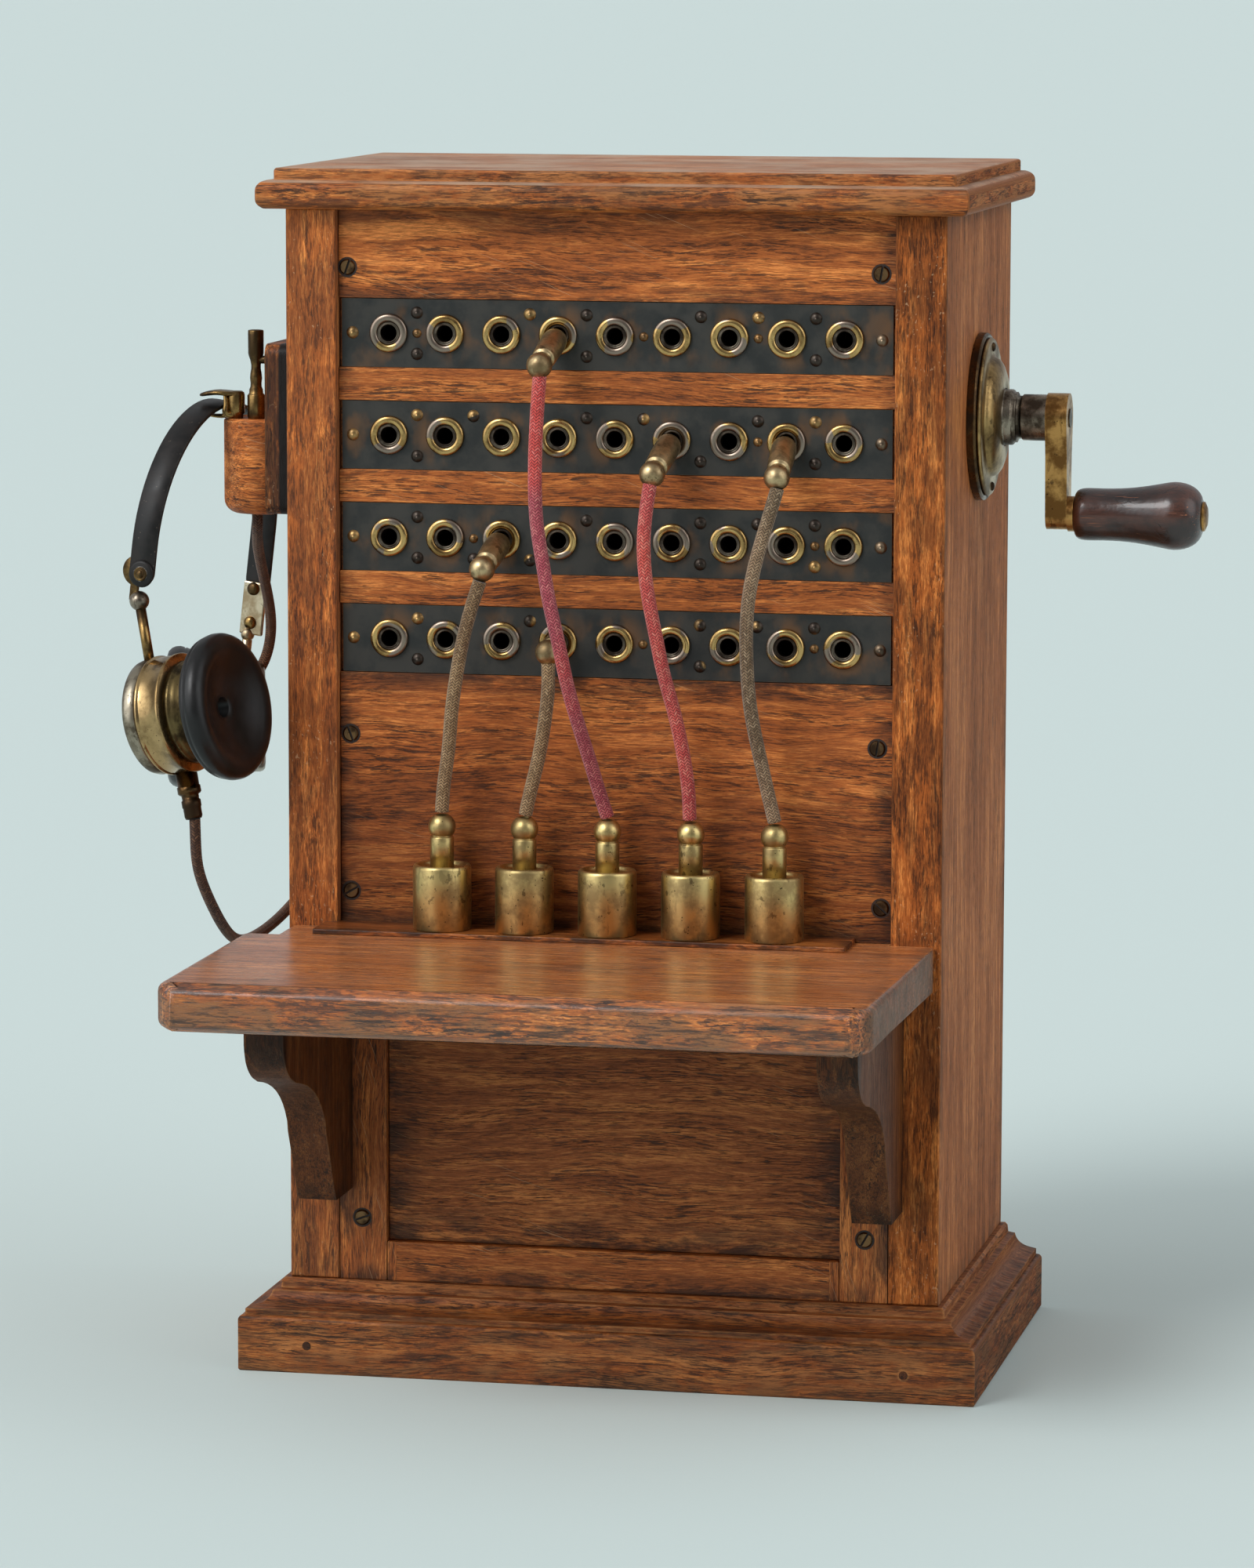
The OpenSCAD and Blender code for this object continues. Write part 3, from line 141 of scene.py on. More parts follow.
# %% Node helper
class Graph:
    """Adds nodes to one tree. Each method takes sockets or values and returns a socket."""

    def __init__(self, tree):
        self.tree = tree

    def node(self, kind, inputs=(), **settings):
        made = self.tree.nodes.new(kind)
        for name, value in settings.items():
            setattr(made, name, value)
        for key, value in dict(inputs).items():
            if isinstance(value, bpy.types.NodeSocket):
                self.tree.links.new(value, made.inputs[key])
            else:
                made.inputs[key].default_value = value
        return made

    def math(self, operation, a, b=0.0, clamp=False):
        return self.node("ShaderNodeMath", {0: a, 1: b}, operation=operation,
                         use_clamp=clamp).outputs[0]

    def vector(self, operation, a, b=(0, 0, 0), output=0):
        return self.node("ShaderNodeVectorMath", {0: a, 1: b}, operation=operation).outputs[output]

    def scaled(self, a, factors):
        return self.vector("MULTIPLY", a, factors)

    def times(self, a, b):
        return self.math("MULTIPLY", a, b)

    def mix(self, share, a, b, blend="MIX"):
        return self.node("ShaderNodeMix", {0: share, 6: a, 7: b}, data_type="RGBA",
                         blend_type=blend).outputs[2]

    def blend(self, share, a, b):
        return self.node("ShaderNodeMix", {0: share, 2: a, 3: b}).outputs[0]

    def pick(self, share, a, b):
        return self.node("ShaderNodeMix", {0: share, 4: a, 5: b}, data_type="VECTOR").outputs[1]

    def band(self, value, low, high, to_low=0.0, to_high=1.0):
        """value between low and high turned softly into to_low to to_high."""
        return self.node("ShaderNodeMapRange", {0: value, 1: low, 2: high, 3: to_low, 4: to_high},
                         interpolation_type="SMOOTHSTEP").outputs[0]

    def noise(self, place, scale=1.0, detail=2.0, rough=0.5):
        return self.node("ShaderNodeTexNoise", {"Vector": place, "Scale": scale, "Detail": detail,
                                                "Roughness": rough}).outputs[0]

    def cells(self, place, scale, feature="F1"):
        return self.node("ShaderNodeTexVoronoi", {"Vector": place, "Scale": scale},
                         feature=feature).outputs[0]

    def split(self, vector):
        return self.node("ShaderNodeSeparateXYZ", {0: vector}).outputs

    def join(self, x, y, z):
        return self.node("ShaderNodeCombineXYZ", {0: x, 1: y, 2: z}).outputs[0]

    def place(self):
        return self.node("ShaderNodeTexCoord").outputs["Object"]

    def give(self, out, **values):
        """Links a group's results to its output node, each under its own name."""
        for name, value in values.items():
            self.tree.links.new(value, out.inputs[name])


print("node helper:", sum(not name.startswith("_") for name in vars(Graph)), "kinds of node")

# %% [markdown]
# ## Sky
#
# Polished brass shows the room round it more than its own colour. A panorama of a room could be
# wrapped round the scene, but two soft windows and a dark patch behind the viewer, drawn with
# a dot product against three directions, are enough to give the brass its streaks.

# %% Sky with two windows
SKY_COLOUR = (0.93, 0.97, 1.0, 1.0)
SKY_LOW, SKY_HIGH = 0.36, 0.52
# The direction of each soft round window, where it starts and is full, and its strength.
WINDOWS = (((-0.75, -0.62, 0.5), 0.80, 0.93, 1.75),
           ((0.86, -0.28, 0.42), 0.86, 0.95, 0.95),
           ((0.1, -1.0, 0.12), 0.55, 0.95, -0.25))


def light_the_world():
    world = bpy.data.worlds.new("studio")
    scene.world = world
    world.use_nodes = True
    g = Graph(world.node_tree)
    world.node_tree.nodes.clear()
    way = g.node("ShaderNodeTexCoord").outputs["Generated"]
    level = g.band(g.split(way)[2], -0.2, 0.9, SKY_LOW, SKY_HIGH)
    for towards, starts, full, strength in WINDOWS:
        facing = g.vector("DOT_PRODUCT", way, tuple(Vector(towards).normalized()), output=1)
        level = g.math("ADD", level, g.times(g.band(facing, starts, full), strength))
    shade = g.node("ShaderNodeBackground", {"Color": SKY_COLOUR, "Strength": level})
    g.give(g.node("ShaderNodeOutputWorld"), Surface=shade.outputs[0])


light_the_world()
print("sky with", len(WINDOWS), "soft patches")

# %% [markdown]
# ## Suns
#
# One broad lamp gives the board its shape, and a weak one keeps the other side from going
# black. Area lamps would work too, but a sun lights the object alike wherever it stands, and
# its angle sets how soft the shadow is.

# %% Key and fill
def add_sun(name, towards, strength, angle):
    data = bpy.data.lights.new(name, "SUN")
    data.energy, data.angle = strength, math.radians(angle)
    sun = bpy.data.objects.new(name, data)
    sun.rotation_mode = "QUATERNION"
    sun.rotation_quaternion = Vector(towards).to_track_quat("Z", "Y")
    scene.collection.objects.link(sun)
    print(name, "sun:", strength, "at", angle, "degrees wide")


add_sun("key", (-0.55, -0.75, 0.85), 1.1, 24)
add_sun("fill", (0.9, -0.35, 0.7), 0.16, 45)

# %% [markdown]
# ## Floor
#
# The board stands on pale paper that fades into the distance. A curved backdrop is the usual
# studio way, but it would have to turn with the camera; a flat floor that runs far enough works
# from every side.

# %% Pale floor
FLOOR, FLOOR_REACH, FLOOR_ROUGH, FLOOR_SHINE = srgb(208, 221, 218), 120, 0.9, 0.1


def add_floor():
    reach = FLOOR_REACH
    mesh = bpy.data.meshes.new("floor")
    mesh.from_pydata([(-reach, -reach, 0), (reach, -reach, 0), (reach, reach, 0),
                      (-reach, reach, 0)], [], [(0, 1, 2, 3)])
    floor = bpy.data.objects.new("floor", mesh)
    scene.collection.objects.link(floor)
    paint = bpy.data.materials.new("floor_paper")
    paint.use_nodes = True
    shader = paint.node_tree.nodes["Principled BSDF"]
    shader.inputs["Base Color"].default_value = FLOOR
    shader.inputs["Roughness"].default_value = FLOOR_ROUGH
    shader.inputs["Specular IOR Level"].default_value = FLOOR_SHINE
    mesh.materials.append(paint)
    floor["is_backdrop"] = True


add_floor()
print("floor reaches", FLOOR_REACH, "m each way")

# %% [markdown]
# ## Shared effects
#
# Grain, rubbed edges, tarnish and weave turn up on many pieces. Each one could be copied into
# every material, but a node group is built once and placed in each material with its own
# values. These groups give only masks and heights; the colours stay in the materials.

# %% Group helpers
def new_group(name, inputs, outputs):
    """An empty node group with its sockets, as (Graph, input sockets, output node)."""
    tree = bpy.data.node_groups.new(name, "ShaderNodeTree")
    for label, kind in inputs:
        tree.interface.new_socket(label, in_out="INPUT", socket_type=kind)
    for label, kind in outputs:
        tree.interface.new_socket(label, in_out="OUTPUT", socket_type=kind)
    g = Graph(tree)
    return g, g.node("NodeGroupInput").outputs, g.node("NodeGroupOutput")


def use(g, group, inputs):
    """The outputs of a group placed in a tree, with the values it gets there."""
    return g.node("ShaderNodeGroup", inputs, node_tree=group).outputs


FLOAT, VECTOR = "NodeSocketFloat", "NodeSocketVector"
print("sockets used:", FLOAT, VECTOR)

# %% [markdown]
# ## Oak's figure
#
# Oak has bands of early and late wood, and open pores that show as short dark dashes along the
# grain. A scanned board could be wrapped round each piece, but its grain would break at the
# corners. Noise that is squeezed across the grain and stretched along it makes both, at any
# size. The numbers below are how often each noise repeats per metre along and across.

# %% Oak figure
FIGURE_SHIFT = (3.1, 7.7, 5.3)
SWAY, FLOW, HAIR = (9, 16, 16), (18, 260, 260), (190, 2600, 2000)
SHORT_PORES, LONG_PORES, PORE_CROWDS = (130, 1700, 1200), (76, 950, 700), (18, 120, 120)
BROAD_TONES, PATCHES, SCRATCHES = (9, 26, 26), (34, 95, 95), (26, 1700, 900)


def oak_figure():
    """Masks for open-grained oak. Place is (along the grain, across it, through the board)."""
    g, given, out = new_group("oak_figure", [("Place", VECTOR), ("Seed", FLOAT)],
                              [(n, FLOAT) for n in ("Tone", "Dashes", "Patch", "Scratches")])
    shift = g.scaled(g.join(given["Seed"], given["Seed"], given["Seed"]), FIGURE_SHIFT)
    at = g.vector("ADD", given["Place"], shift)
    sway = g.noise(g.scaled(at, SWAY), detail=2)
    at = g.vector("ADD", at, g.join(0.0, g.times(sway, 0.016), 0.0))
    flow = g.noise(g.scaled(at, FLOW), detail=6, rough=0.66)
    hair = g.noise(g.scaled(at, HAIR), detail=3, rough=0.7)
    thin = g.noise(g.scaled(at, SHORT_PORES), detail=3, rough=0.6)
    thick = g.noise(g.scaled(at, LONG_PORES), detail=4, rough=0.66)
    crowd = g.noise(g.scaled(at, PORE_CROWDS), detail=4, rough=0.62)
    broad = g.noise(g.scaled(at, BROAD_TONES), detail=4, rough=0.6)
    tone = g.times(g.band(flow, 0.34, 0.68), 0.4)
    tone = g.math("ADD", tone, g.times(g.band(hair, 0.34, 0.66), 0.35))
    tone = g.math("ADD", tone, g.band(broad, 0.3, 0.7, 0.0, 0.3), clamp=True)
    short_pores = g.times(g.band(thin, 0.54, 0.60), g.band(crowd, 0.36, 0.56, 0.35, 1.0))
    long_pores = g.times(g.band(thick, 0.56, 0.61), g.band(crowd, 0.42, 0.58, 0.15, 1.0))
    dashes = g.math("MAXIMUM", g.times(short_pores, 0.8), long_pores)
    patch = g.noise(g.scaled(at, PATCHES), detail=6, rough=0.68)
    tilted = g.vector("ADD", at, g.scaled(g.join(0.0, g.split(at)[0], 0.0), (1, 0.35, 1)))
    lines = g.noise(g.scaled(tilted, SCRATCHES), detail=1)
    scratches = g.times(g.band(lines, 0.67, 0.73), g.band(g.noise(at, 30, 2), 0.46, 0.62))
    g.give(out, Tone=tone, Dashes=dashes, Patch=patch, Scratches=scratches)
    return g.tree


OAK_FIGURE = oak_figure()
print("oak figure:", len(OAK_FIGURE.nodes), "nodes")

# %% [markdown]
# ## Rubbed edges
#
# Hands and cloths rub a finish off the sharp edges first. The edges could be painted by hand;
# instead the Bevel node bends the normal near an edge, and where it differs from the flat one
# there is an edge. Noise breaks the line up, so that it looks worn and not drawn.

# %% Worn edges
def worn_edges():
    """1 on a piece's sharp edges, fading over the given radius, broken up by noise."""
    g, given, out = new_group(
        "worn_edges", [("Radius", FLOAT), ("Place", VECTOR), ("Grain", FLOAT)], [("Mask", FLOAT)])
    bevel = g.node("ShaderNodeBevel", {"Radius": given["Radius"]}, samples=6)
    flat = g.node("ShaderNodeNewGeometry").outputs["Normal"]
    turn = g.vector("DOT_PRODUCT", bevel.outputs[0], flat, output=1)
    edge = g.band(turn, 0.995, 0.86)
    rubbed = g.noise(given["Place"], given["Grain"], 5, 0.65)
    g.give(out, Mask=g.times(edge, g.band(rubbed, 0.38, 0.6)))
    return g.tree


WORN_EDGES = worn_edges()
print("worn edges:", len(WORN_EDGES.nodes), "nodes")

# %% [markdown]
# ## Old metal's surface
#
# Brass that nobody polishes grows clouds of patina, dark blots, small pits and hairlines. Each
# mark could be a painted map; noises of several sizes give the same marks on every fitting
# without any seam, and each metal picks how much of each it wants.

# %% Metal wear
def metal_wear():
    """Masks for old metal: patina clouds, blots, small pits and fine hairlines."""
    g, given, out = new_group("metal_wear", [("Place", VECTOR), ("Seed", FLOAT), ("Cloud", FLOAT)],
                              [(n, FLOAT) for n in ("Patina", "Blots", "Pits", "Hairlines",
                                                    "Streaks")])
    at = g.vector("ADD", given["Place"], g.join(given["Seed"], given["Seed"], given["Seed"]))
    patina = g.noise(at, given["Cloud"], 4, 0.55)
    fine = g.noise(at, 700, 3, 0.6)
    patina = g.math("ADD", g.times(patina, 0.85), g.times(fine, 0.15))
    blots = g.noise(g.scaled(at, (1, 1, 0.7)), 170, 5, 0.6)
    speck = g.cells(at, 620)
    pits = g.times(g.band(speck, 0.24, 0.10), g.band(g.noise(at, 210, 2), 0.54, 0.62))
    lines = g.noise(g.scaled(at, (60, 60, 2600)), detail=1)
    streaks = g.noise(g.scaled(at, (260, 260, 80)), detail=4, rough=0.6)
    g.give(out, Patina=patina, Blots=blots, Pits=pits, Hairlines=lines, Streaks=streaks)
    return g.tree


METAL_WEAR = metal_wear()
print("metal wear:", len(METAL_WEAR.nodes), "nodes")

# %% [markdown]
# ## Braid
#
# A cord's cover is cotton yarn braided in two families that cross and make small chevrons.
# Real strands could be modelled, but seven cords of them would be heavy. The cord's UV map
# tells how far along and how far round a point is, and two sine ridges that lean left and
# right in turn draw the yarns there.

# %% Braid weave
def braid_weave():
    """A herringbone braid from a cord's UV: x is metres along it and y is turns round it."""
    g, given, out = new_group("braid_weave", [("UV", VECTOR), ("Step", FLOAT), ("Starts", FLOAT)],
                              [("Height", FLOAT), ("Yarn", FLOAT)])
    along, around, _ = g.split(given["UV"])
    run = g.math("DIVIDE", along, given["Step"])
    lap = g.times(around, given["Starts"])
    left, right = g.math("ADD", run, lap), g.math("SUBTRACT", run, lap)
    column = g.math("ABSOLUTE", g.math("MODULO", g.math("FLOOR", lap), 2.0))
    ridge_a, ridge_b, seam = (g.math("ABSOLUTE", g.math("SINE", g.times(way, math.pi)))
                              for way in (left, right, lap))
    height = g.times(g.blend(column, ridge_a, ridge_b), g.band(seam, 0.0, 0.5, 0.45, 1.0))
    picked = g.join(g.math("FLOOR", g.blend(column, left, right)), g.math("FLOOR", lap), 0.0)
    yarn = g.node("ShaderNodeTexWhiteNoise", {"Vector": picked}, noise_dimensions="3D").outputs[0]
    yarn = g.blend(0.35, g.noise(picked, 0.73, 0), yarn)
    g.give(out, Height=height, Yarn=yarn)
    return g.tree


BRAID_WEAVE = braid_weave()
print("braid weave:", len(BRAID_WEAVE.nodes), "nodes")

# %% [markdown]
# ## Starting a material
#
# Every finish here is one Principled shader whose sockets get a colour, a roughness and
# a bump. Three small helpers start the material, fill the sockets and make the bump, so that
# each finish below holds only what makes it different.

# %% Material helpers
def new_material(name):
    """A new material as (the material, its Graph, its Principled shader)."""
    made = bpy.data.materials.new(name)
    made.use_nodes = True
    return made, Graph(made.node_tree), made.node_tree.nodes["Principled BSDF"]


def set_shader(g, shader, **sockets):
    """Sets or links the shader's sockets; the names have underscores for spaces."""
    for key, value in sockets.items():
        socket = shader.inputs[key.replace("_", " ")]
        if isinstance(value, bpy.types.NodeSocket):
            g.tree.links.new(value, socket)
        else:
            socket.default_value = value


def bumped(g, height, distance, strength=1.0):
    """A normal that follows a height, whose full step is that many metres deep."""
    return g.node("ShaderNodeBump", {"Strength": strength, "Distance": distance,
                                     "Height": height}).outputs[0]


PIT_COLOUR, BRASS_DARK = (0.03, 0.022, 0.016, 1), srgb(60, 46, 34)
PIT_DEEP = 0.03 * MM
print("pits are", PIT_DEEP / MM, "mm deep")

# %% [markdown]
# ## Stained oak
#
# The joinery is oak under a red-brown stain and an old varnish. Each board could get a scan of
# its own, but the same few marks make all of them: the figure, the dark pores, edges rubbed to
# bare wood, and darker borders. Some boards also get painted light: a sheen on level faces and on
# sides, shade towards the foot, a shadow line. So one recipe takes a board's grain and its
# wear, and only its numbers change from board to board.

# %% Oak colours
OAK_DARK, OAK_MID, OAK_LIGHT = srgb(82, 40, 18), srgb(172, 92, 38), srgb(240, 150, 76)
OAK_WORN, OAK_BLACK, OAK_PALE = srgb(228, 154, 90), srgb(40, 26, 19), srgb(214, 172, 130)
PALE_GRAZE, DARK_GRAZE, INK = srgb(226, 172, 122), srgb(66, 38, 22), srgb(54, 35, 27)
# Greys for faces that look along X: END_GREY on the shelf's ends; SIDE_GREY, a painted sheen on
# the side boards, also greys the brackets all over.
END_GREY, SIDE_GREY = srgb(84, 66, 52), srgb(122, 92, 68)
# A painted sheen's pale grey for level faces, and the near-black of a painted shadow line.
BLOOM, SHADOW_LINE = srgb(206, 182, 158), srgb(22, 13, 9)
AXES = {"x": 0, "y": 1, "z": 2}
print("oak runs from", [round(c, 3) for c in OAK_DARK[:3]], "to",
      [round(c, 3) for c in OAK_LIGHT[:3]])

# %% Grain along a board
JOINT_BLUR, RAIL_TUCK = 0.1 * MM, 4 * MM


def lay_grain(g, parts, sideways, grain, mitred, rail):
    """A board's place with its grain first. Mitred boards turn it on their sides; rail is the
    middle and half width of a cross piece whose own grain runs along X."""
    depth = ({0, 1, 2} - set(grain)).pop()
    laid = g.join(parts[grain[0]], parts[grain[1]], parts[depth])
    if rail:
        middle, half = rail
        off = g.math("ABSOLUTE", g.math("SUBTRACT", parts[0], middle))
        inside = g.band(off, half + JOINT_BLUR, half - JOINT_BLUR)
        laid = g.pick(inside, laid, g.join(parts[0], parts[2], parts[1]))
    if mitred:
        laid = g.pick(sideways, laid, g.join(parts[1], parts[2], parts[0]))
    return laid


low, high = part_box("lower_panel")
LOWER_RAIL = ((low[0] + high[0]) / 2, (high[0] - low[0]) / 2 - RAIL_TUCK)
print("lower rail's middle and half width:", [round(v / MM, 1) for v in LOWER_RAIL], "mm")

# %% Knocks
LONG_MARKS, GRAZES = (44, 620, 620), (30, 1300, 300)


def knocks(g, colour, laid, patch, upright, battered):
    """Ink-dark marks and dents on upright faces, pale and dark grazes on level ones."""
    level = g.math("SUBTRACT", 1.0, upright)
    grazed = g.noise(g.scaled(laid, GRAZES), detail=4, rough=0.7)
    colour = g.mix(g.times(g.band(grazed, 0.55, 0.64, 0.0, 0.5), level), colour, PALE_GRAZE)
    colour = g.mix(g.times(g.band(grazed, 0.45, 0.37, 0.0, 0.5), level), colour, DARK_GRAZE)
    long_marks = g.noise(g.scaled(laid, LONG_MARKS), detail=6, rough=0.72)
    marks = g.times(g.band(long_marks, 0.53, 0.58), upright)
    marks = g.math("MAXIMUM", marks, g.times(g.band(patch, 0.43, 0.37), upright))
    return g.mix(g.times(marks, 0.75 * battered), colour, INK)


print("knocks repeat", LONG_MARKS[0], "times a metre along the grain")

# %% Darker borders, painted sheen and painted shade
def border_mask(g, parts, node, axes, reach):
    """1 at the border of a board's box seen along its third axis, 0 further in than reach."""
    low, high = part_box(node)
    near = 1.0
    for k in axes:
        near = g.math("MINIMUM", near, g.math("SUBTRACT", parts[k], low[k]))
        near = g.math("MINIMUM", near, g.math("SUBTRACT", high[k], parts[k]))
    return g.band(near, reach, 0.0)


def grimed(g, colour, border, patch, grime):
    """Darker along a board's border, in patches, and in a few stray patches further in."""
    dirty = g.times(border, g.band(patch, 0.40, 0.56))
    dirty = g.math("MAXIMUM", dirty, g.times(g.band(patch, 0.60, 0.72), 0.7))
    return g.mix(g.times(dirty, grime), colour, OAK_BLACK)


def bloomed(g, colour, here, upward, haze):
    """A painted sheen in clouds on level faces only, as if they mirrored the sky."""
    clouds = g.band(g.noise(here, 26, 4, 0.6), 0.36, 0.66, 0.3, 1.0)
    return g.mix(g.times(g.times(g.band(upward, 0.8, 0.97), clouds), haze), colour, BLOOM)


def dark_foot(g, colour, height, patch, deep):
    """Painted shade that deepens downwards, broken up a little by the patches; deep is (where it
    is full, where it ends, how dark).
    """
    full, ends, darkest = deep
    stain = g.math("ADD", height, g.times(g.math("SUBTRACT", patch, 0.5), 0.12))
    stain = g.band(stain, full, ends, darkest, 1.0)
    return g.mix(1.0, colour, g.join(stain, stain, stain), "MULTIPLY")


# The second layer is a painted sheen on level faces and the third a painted shade towards a
# board's foot.
print("three layers lie over the oak: grime, bloom, dark stain")

# %% Oak
# tint darkens or lightens the whole board; grey and side_grey grey it, on its other faces and on
# those that look along X, which on the side boards is a painted sheen; dashes are the pores.
# darkening is how dark the board goes along its border and border how far in that reaches, in
# mm; worn is how bare the arrises are and edge how wide, in mm. battered gives knocks, pale gives
# scratches; rough, coat and shine are the varnish and haze a painted sheen on level faces.
# shaded is where a painted shadow starts along X, deep a painted shade towards the foot, rail a
# cross piece with its own grain.
SHADOW_BLUR, WOOD_RUB = 0.6 * MM, 190.0


def oak(node, along, across, seed, tint=1.0, grey=0.0, dashes=0.85, grime=0.8, border=12.0,
        worn=0.6, edge=1.6, battered=0.0, mitred=False, rough=0.5, coat=0.06, pale=0.4,
        side_grey=0.0, shine=0.25, haze=0.0, shaded=None, deep=None, rail=None):
    """Stained oak whose grain runs along one axis. Battered boards are also worn and blackened
    in patches on their upright faces."""
    made, g, shader = new_material("oak_" + node)
    here = g.place()
    parts = g.split(here)
    normal = g.split(g.node("ShaderNodeNewGeometry").outputs["Normal"])
    sideways = g.band(g.math("ABSOLUTE", normal[0]), *((0.5, 1.0) if battered else (0.6, 0.75)))
    grain = (AXES[along], AXES[across])
    laid = lay_grain(g, parts, sideways, grain, mitred, rail)
    figure = use(g, OAK_FIGURE, {"Place": laid, "Seed": float(seed)})
    tone, patch = figure["Tone"], figure["Patch"]
    colour = g.mix(g.band(tone, 0.0, 0.5), OAK_DARK, OAK_MID)
    colour = g.mix(g.band(tone, 0.45, 1.0), colour, OAK_LIGHT)
    if battered:
        upright = g.band(g.math("ABSOLUTE", normal[2]), 0.97, 0.8)
        bare = g.times(g.band(patch, 0.44, 0.60), upright)
        colour = g.mix(g.times(bare, 0.55 * battered), colour, OAK_WORN)
    rubbed = use(g, WORN_EDGES, {"Radius": edge * MM, "Place": g.scaled(laid, (0.3, 1, 1)),
                                 "Grain": WOOD_RUB})["Mask"]
    colour = g.mix(g.times(figure["Dashes"], dashes), colour, OAK_BLACK)
    colour = g.mix(g.times(rubbed, worn), colour, OAK_WORN)
    if battered:
        colour = knocks(g, colour, laid, patch, upright, battered)
        pale = g.times(g.math("SUBTRACT", 1.0, upright), pale)
    # Darker along the board's border, in patches, and in a few stray patches further in.
    if grime:
        edges = border_mask(g, parts, node, grain, border * MM)
        colour = grimed(g, colour, edges, patch, grime)
    # Faces that look along X go grey, a painted sheen on the side boards and a darker grey on the
    # shelf's ends; the other faces take the all-over grey.
    if grey or side_grey:
        share = g.math("ADD", g.times(sideways, side_grey - grey), grey)
        colour = g.mix(share, colour, END_GREY if battered else SIDE_GREY)
    # Painted sheen: level faces go paler in clouds, as if they mirrored the sky.
    if haze:
        colour = bloomed(g, colour, here, normal[2], haze)
    colour = g.mix(g.times(figure["Scratches"], pale), colour, OAK_PALE)
    if shaded:
        shadow = g.band(parts[0], shaded - SHADOW_BLUR, shaded + SHADOW_BLUR)
        colour = g.mix(shadow, colour, SHADOW_LINE)
    # Painted shade: the board darkens towards its foot.
    if deep:
        colour = dark_foot(g, colour, parts[2], patch, deep)
    colour = g.mix(1.0, colour, (tint, tint, tint, 1.0), "MULTIPLY")
    height = g.math("SUBTRACT", g.times(tone, 0.5), figure["Dashes"])
    height = g.math("SUBTRACT", height, g.times(figure["Scratches"], 0.4))
    gloss = g.band(tone, 0.0, 1.0, rough + 0.1, rough - 0.05)
    gloss = g.math("ADD", gloss, g.times(rubbed, 0.1))
    if coat:
        coat = g.band(sideways, 0.0, 1.0, coat, 0.0)
        gloss = g.math("ADD", gloss, g.times(sideways, 0.25))
    set_shader(g, shader, Base_Color=colour, Roughness=gloss,
               Normal=bumped(g, height, 0.2 * MM, 0.8), Coat_Weight=coat, Coat_Roughness=0.25,
               Specular_IOR_Level=shine)
    return made


print("oak can be changed in", oak.__code__.co_argcount - 1, "ways")

# %% [markdown]
# ## Old metal
#
# The fittings are brass and steel that were once bright. Clean metal stays where hands rub it,
# on the edges, and patina takes the hollows. A layered paint file could do this for one piece;
# here the shared wear masks choose between two colours, so one recipe serves every fitting.

# %% Old metal
# amount is where patina starts and is full, rough the gloss of clean and of dull metal, cloud
# how often the patina changes per metre, and edge how wide the bright arrises are, in mm.
METAL_RUB = 420.0


def metal(name, clean, patina, seed, amount=(0.42, 0.6), rough=(0.24, 0.5), worn=0.5, edge=0.8,
          pits=0.6, cloud=90, streaks=0.4):
    """Old metal: clean where it is handled, patina in clouds, bright worn edges and dark pits."""
    made, g, shader = new_material(name)
    here = g.place()
    wear = use(g, METAL_WEAR, {"Place": here, "Seed": float(seed), "Cloud": float(cloud)})
    dull = g.band(wear["Patina"], amount[0], amount[1])
    colour = g.mix(dull, clean, patina)
    colour = g.mix(g.band(wear["Blots"], 0.62, 0.66, 0.0, 0.6), colour, BRASS_DARK)
    colour = g.mix(g.band(wear["Streaks"], 0.575, 0.60, 0.0, streaks), colour, patina)
    rubbed = use(g, WORN_EDGES, {"Radius": edge * MM, "Place": here, "Grain": METAL_RUB})["Mask"]
    colour = g.mix(g.times(rubbed, worn), colour, clean)
    colour = g.mix(g.times(wear["Pits"], pits), colour, PIT_COLOUR)
    gloss = g.blend(dull, rough[0], rough[1])
    gloss = g.math("ADD", gloss, g.times(wear["Pits"], 0.25))
    height = g.math("SUBTRACT", g.times(wear["Hairlines"], 0.25), wear["Pits"])
    set_shader(g, shader, Base_Color=colour, Metallic=1.0, Roughness=gloss,
               Normal=bumped(g, height, 0.05 * MM, 0.5))
    return made


print("old metal can be changed in", metal.__code__.co_argcount - 1, "ways")

# %% [markdown]
# ## Jack rims
#
# The rims are brass under thin nickel, and plugs have polished the nickel away in places. Two
# materials could be given to hand-picked faces, but the border between the metals doesn't
# follow any face. A large soft noise with a hard threshold draws it across all the rims.

# %% Two-metal rims
def two_metal_rims():
    """Golden brass where plugs polish the rim, and grey nickel left in sharp arcs."""
    made, g, shader = new_material("jack_rims")
    here = g.place()
    wear = use(g, METAL_WEAR, {"Place": here, "Seed": 1.0, "Cloud": 90.0})
    plated = g.noise(here, 62, 1)
    ragged = g.math("ADD", plated, g.times(wear["Patina"], 0.10))
    nickel = g.band(ragged, 0.565, 0.585)
    colour = g.mix(g.band(wear["Patina"], 0.4, 0.66), srgb(196, 162, 104), srgb(128, 98, 58))
    colour = g.mix(nickel, colour, srgb(142, 126, 112))
    colour = g.mix(g.times(wear["Pits"], 0.5), colour, PIT_COLOUR)
    gloss = g.blend(nickel, 0.22, 0.28)
    set_shader(g, shader, Base_Color=colour, Metallic=1.0, Roughness=gloss,
               Normal=bumped(g, wear["Hairlines"], PIT_DEEP, 0.3))
    return made


JACK_BRASS = two_metal_rims()
print("rims:", len(JACK_BRASS.node_tree.nodes), "nodes")

# %% [markdown]
# ## Strip rivets
#
# Rivets hold the strips: bright ones at the ends, small coppery ones, and blackened ones that
# shine where they are rubbed. Each sort could be its own object, but all are one CAD piece, so
# the material tells them apart by where they stand: how far they are from the jacks' rows.

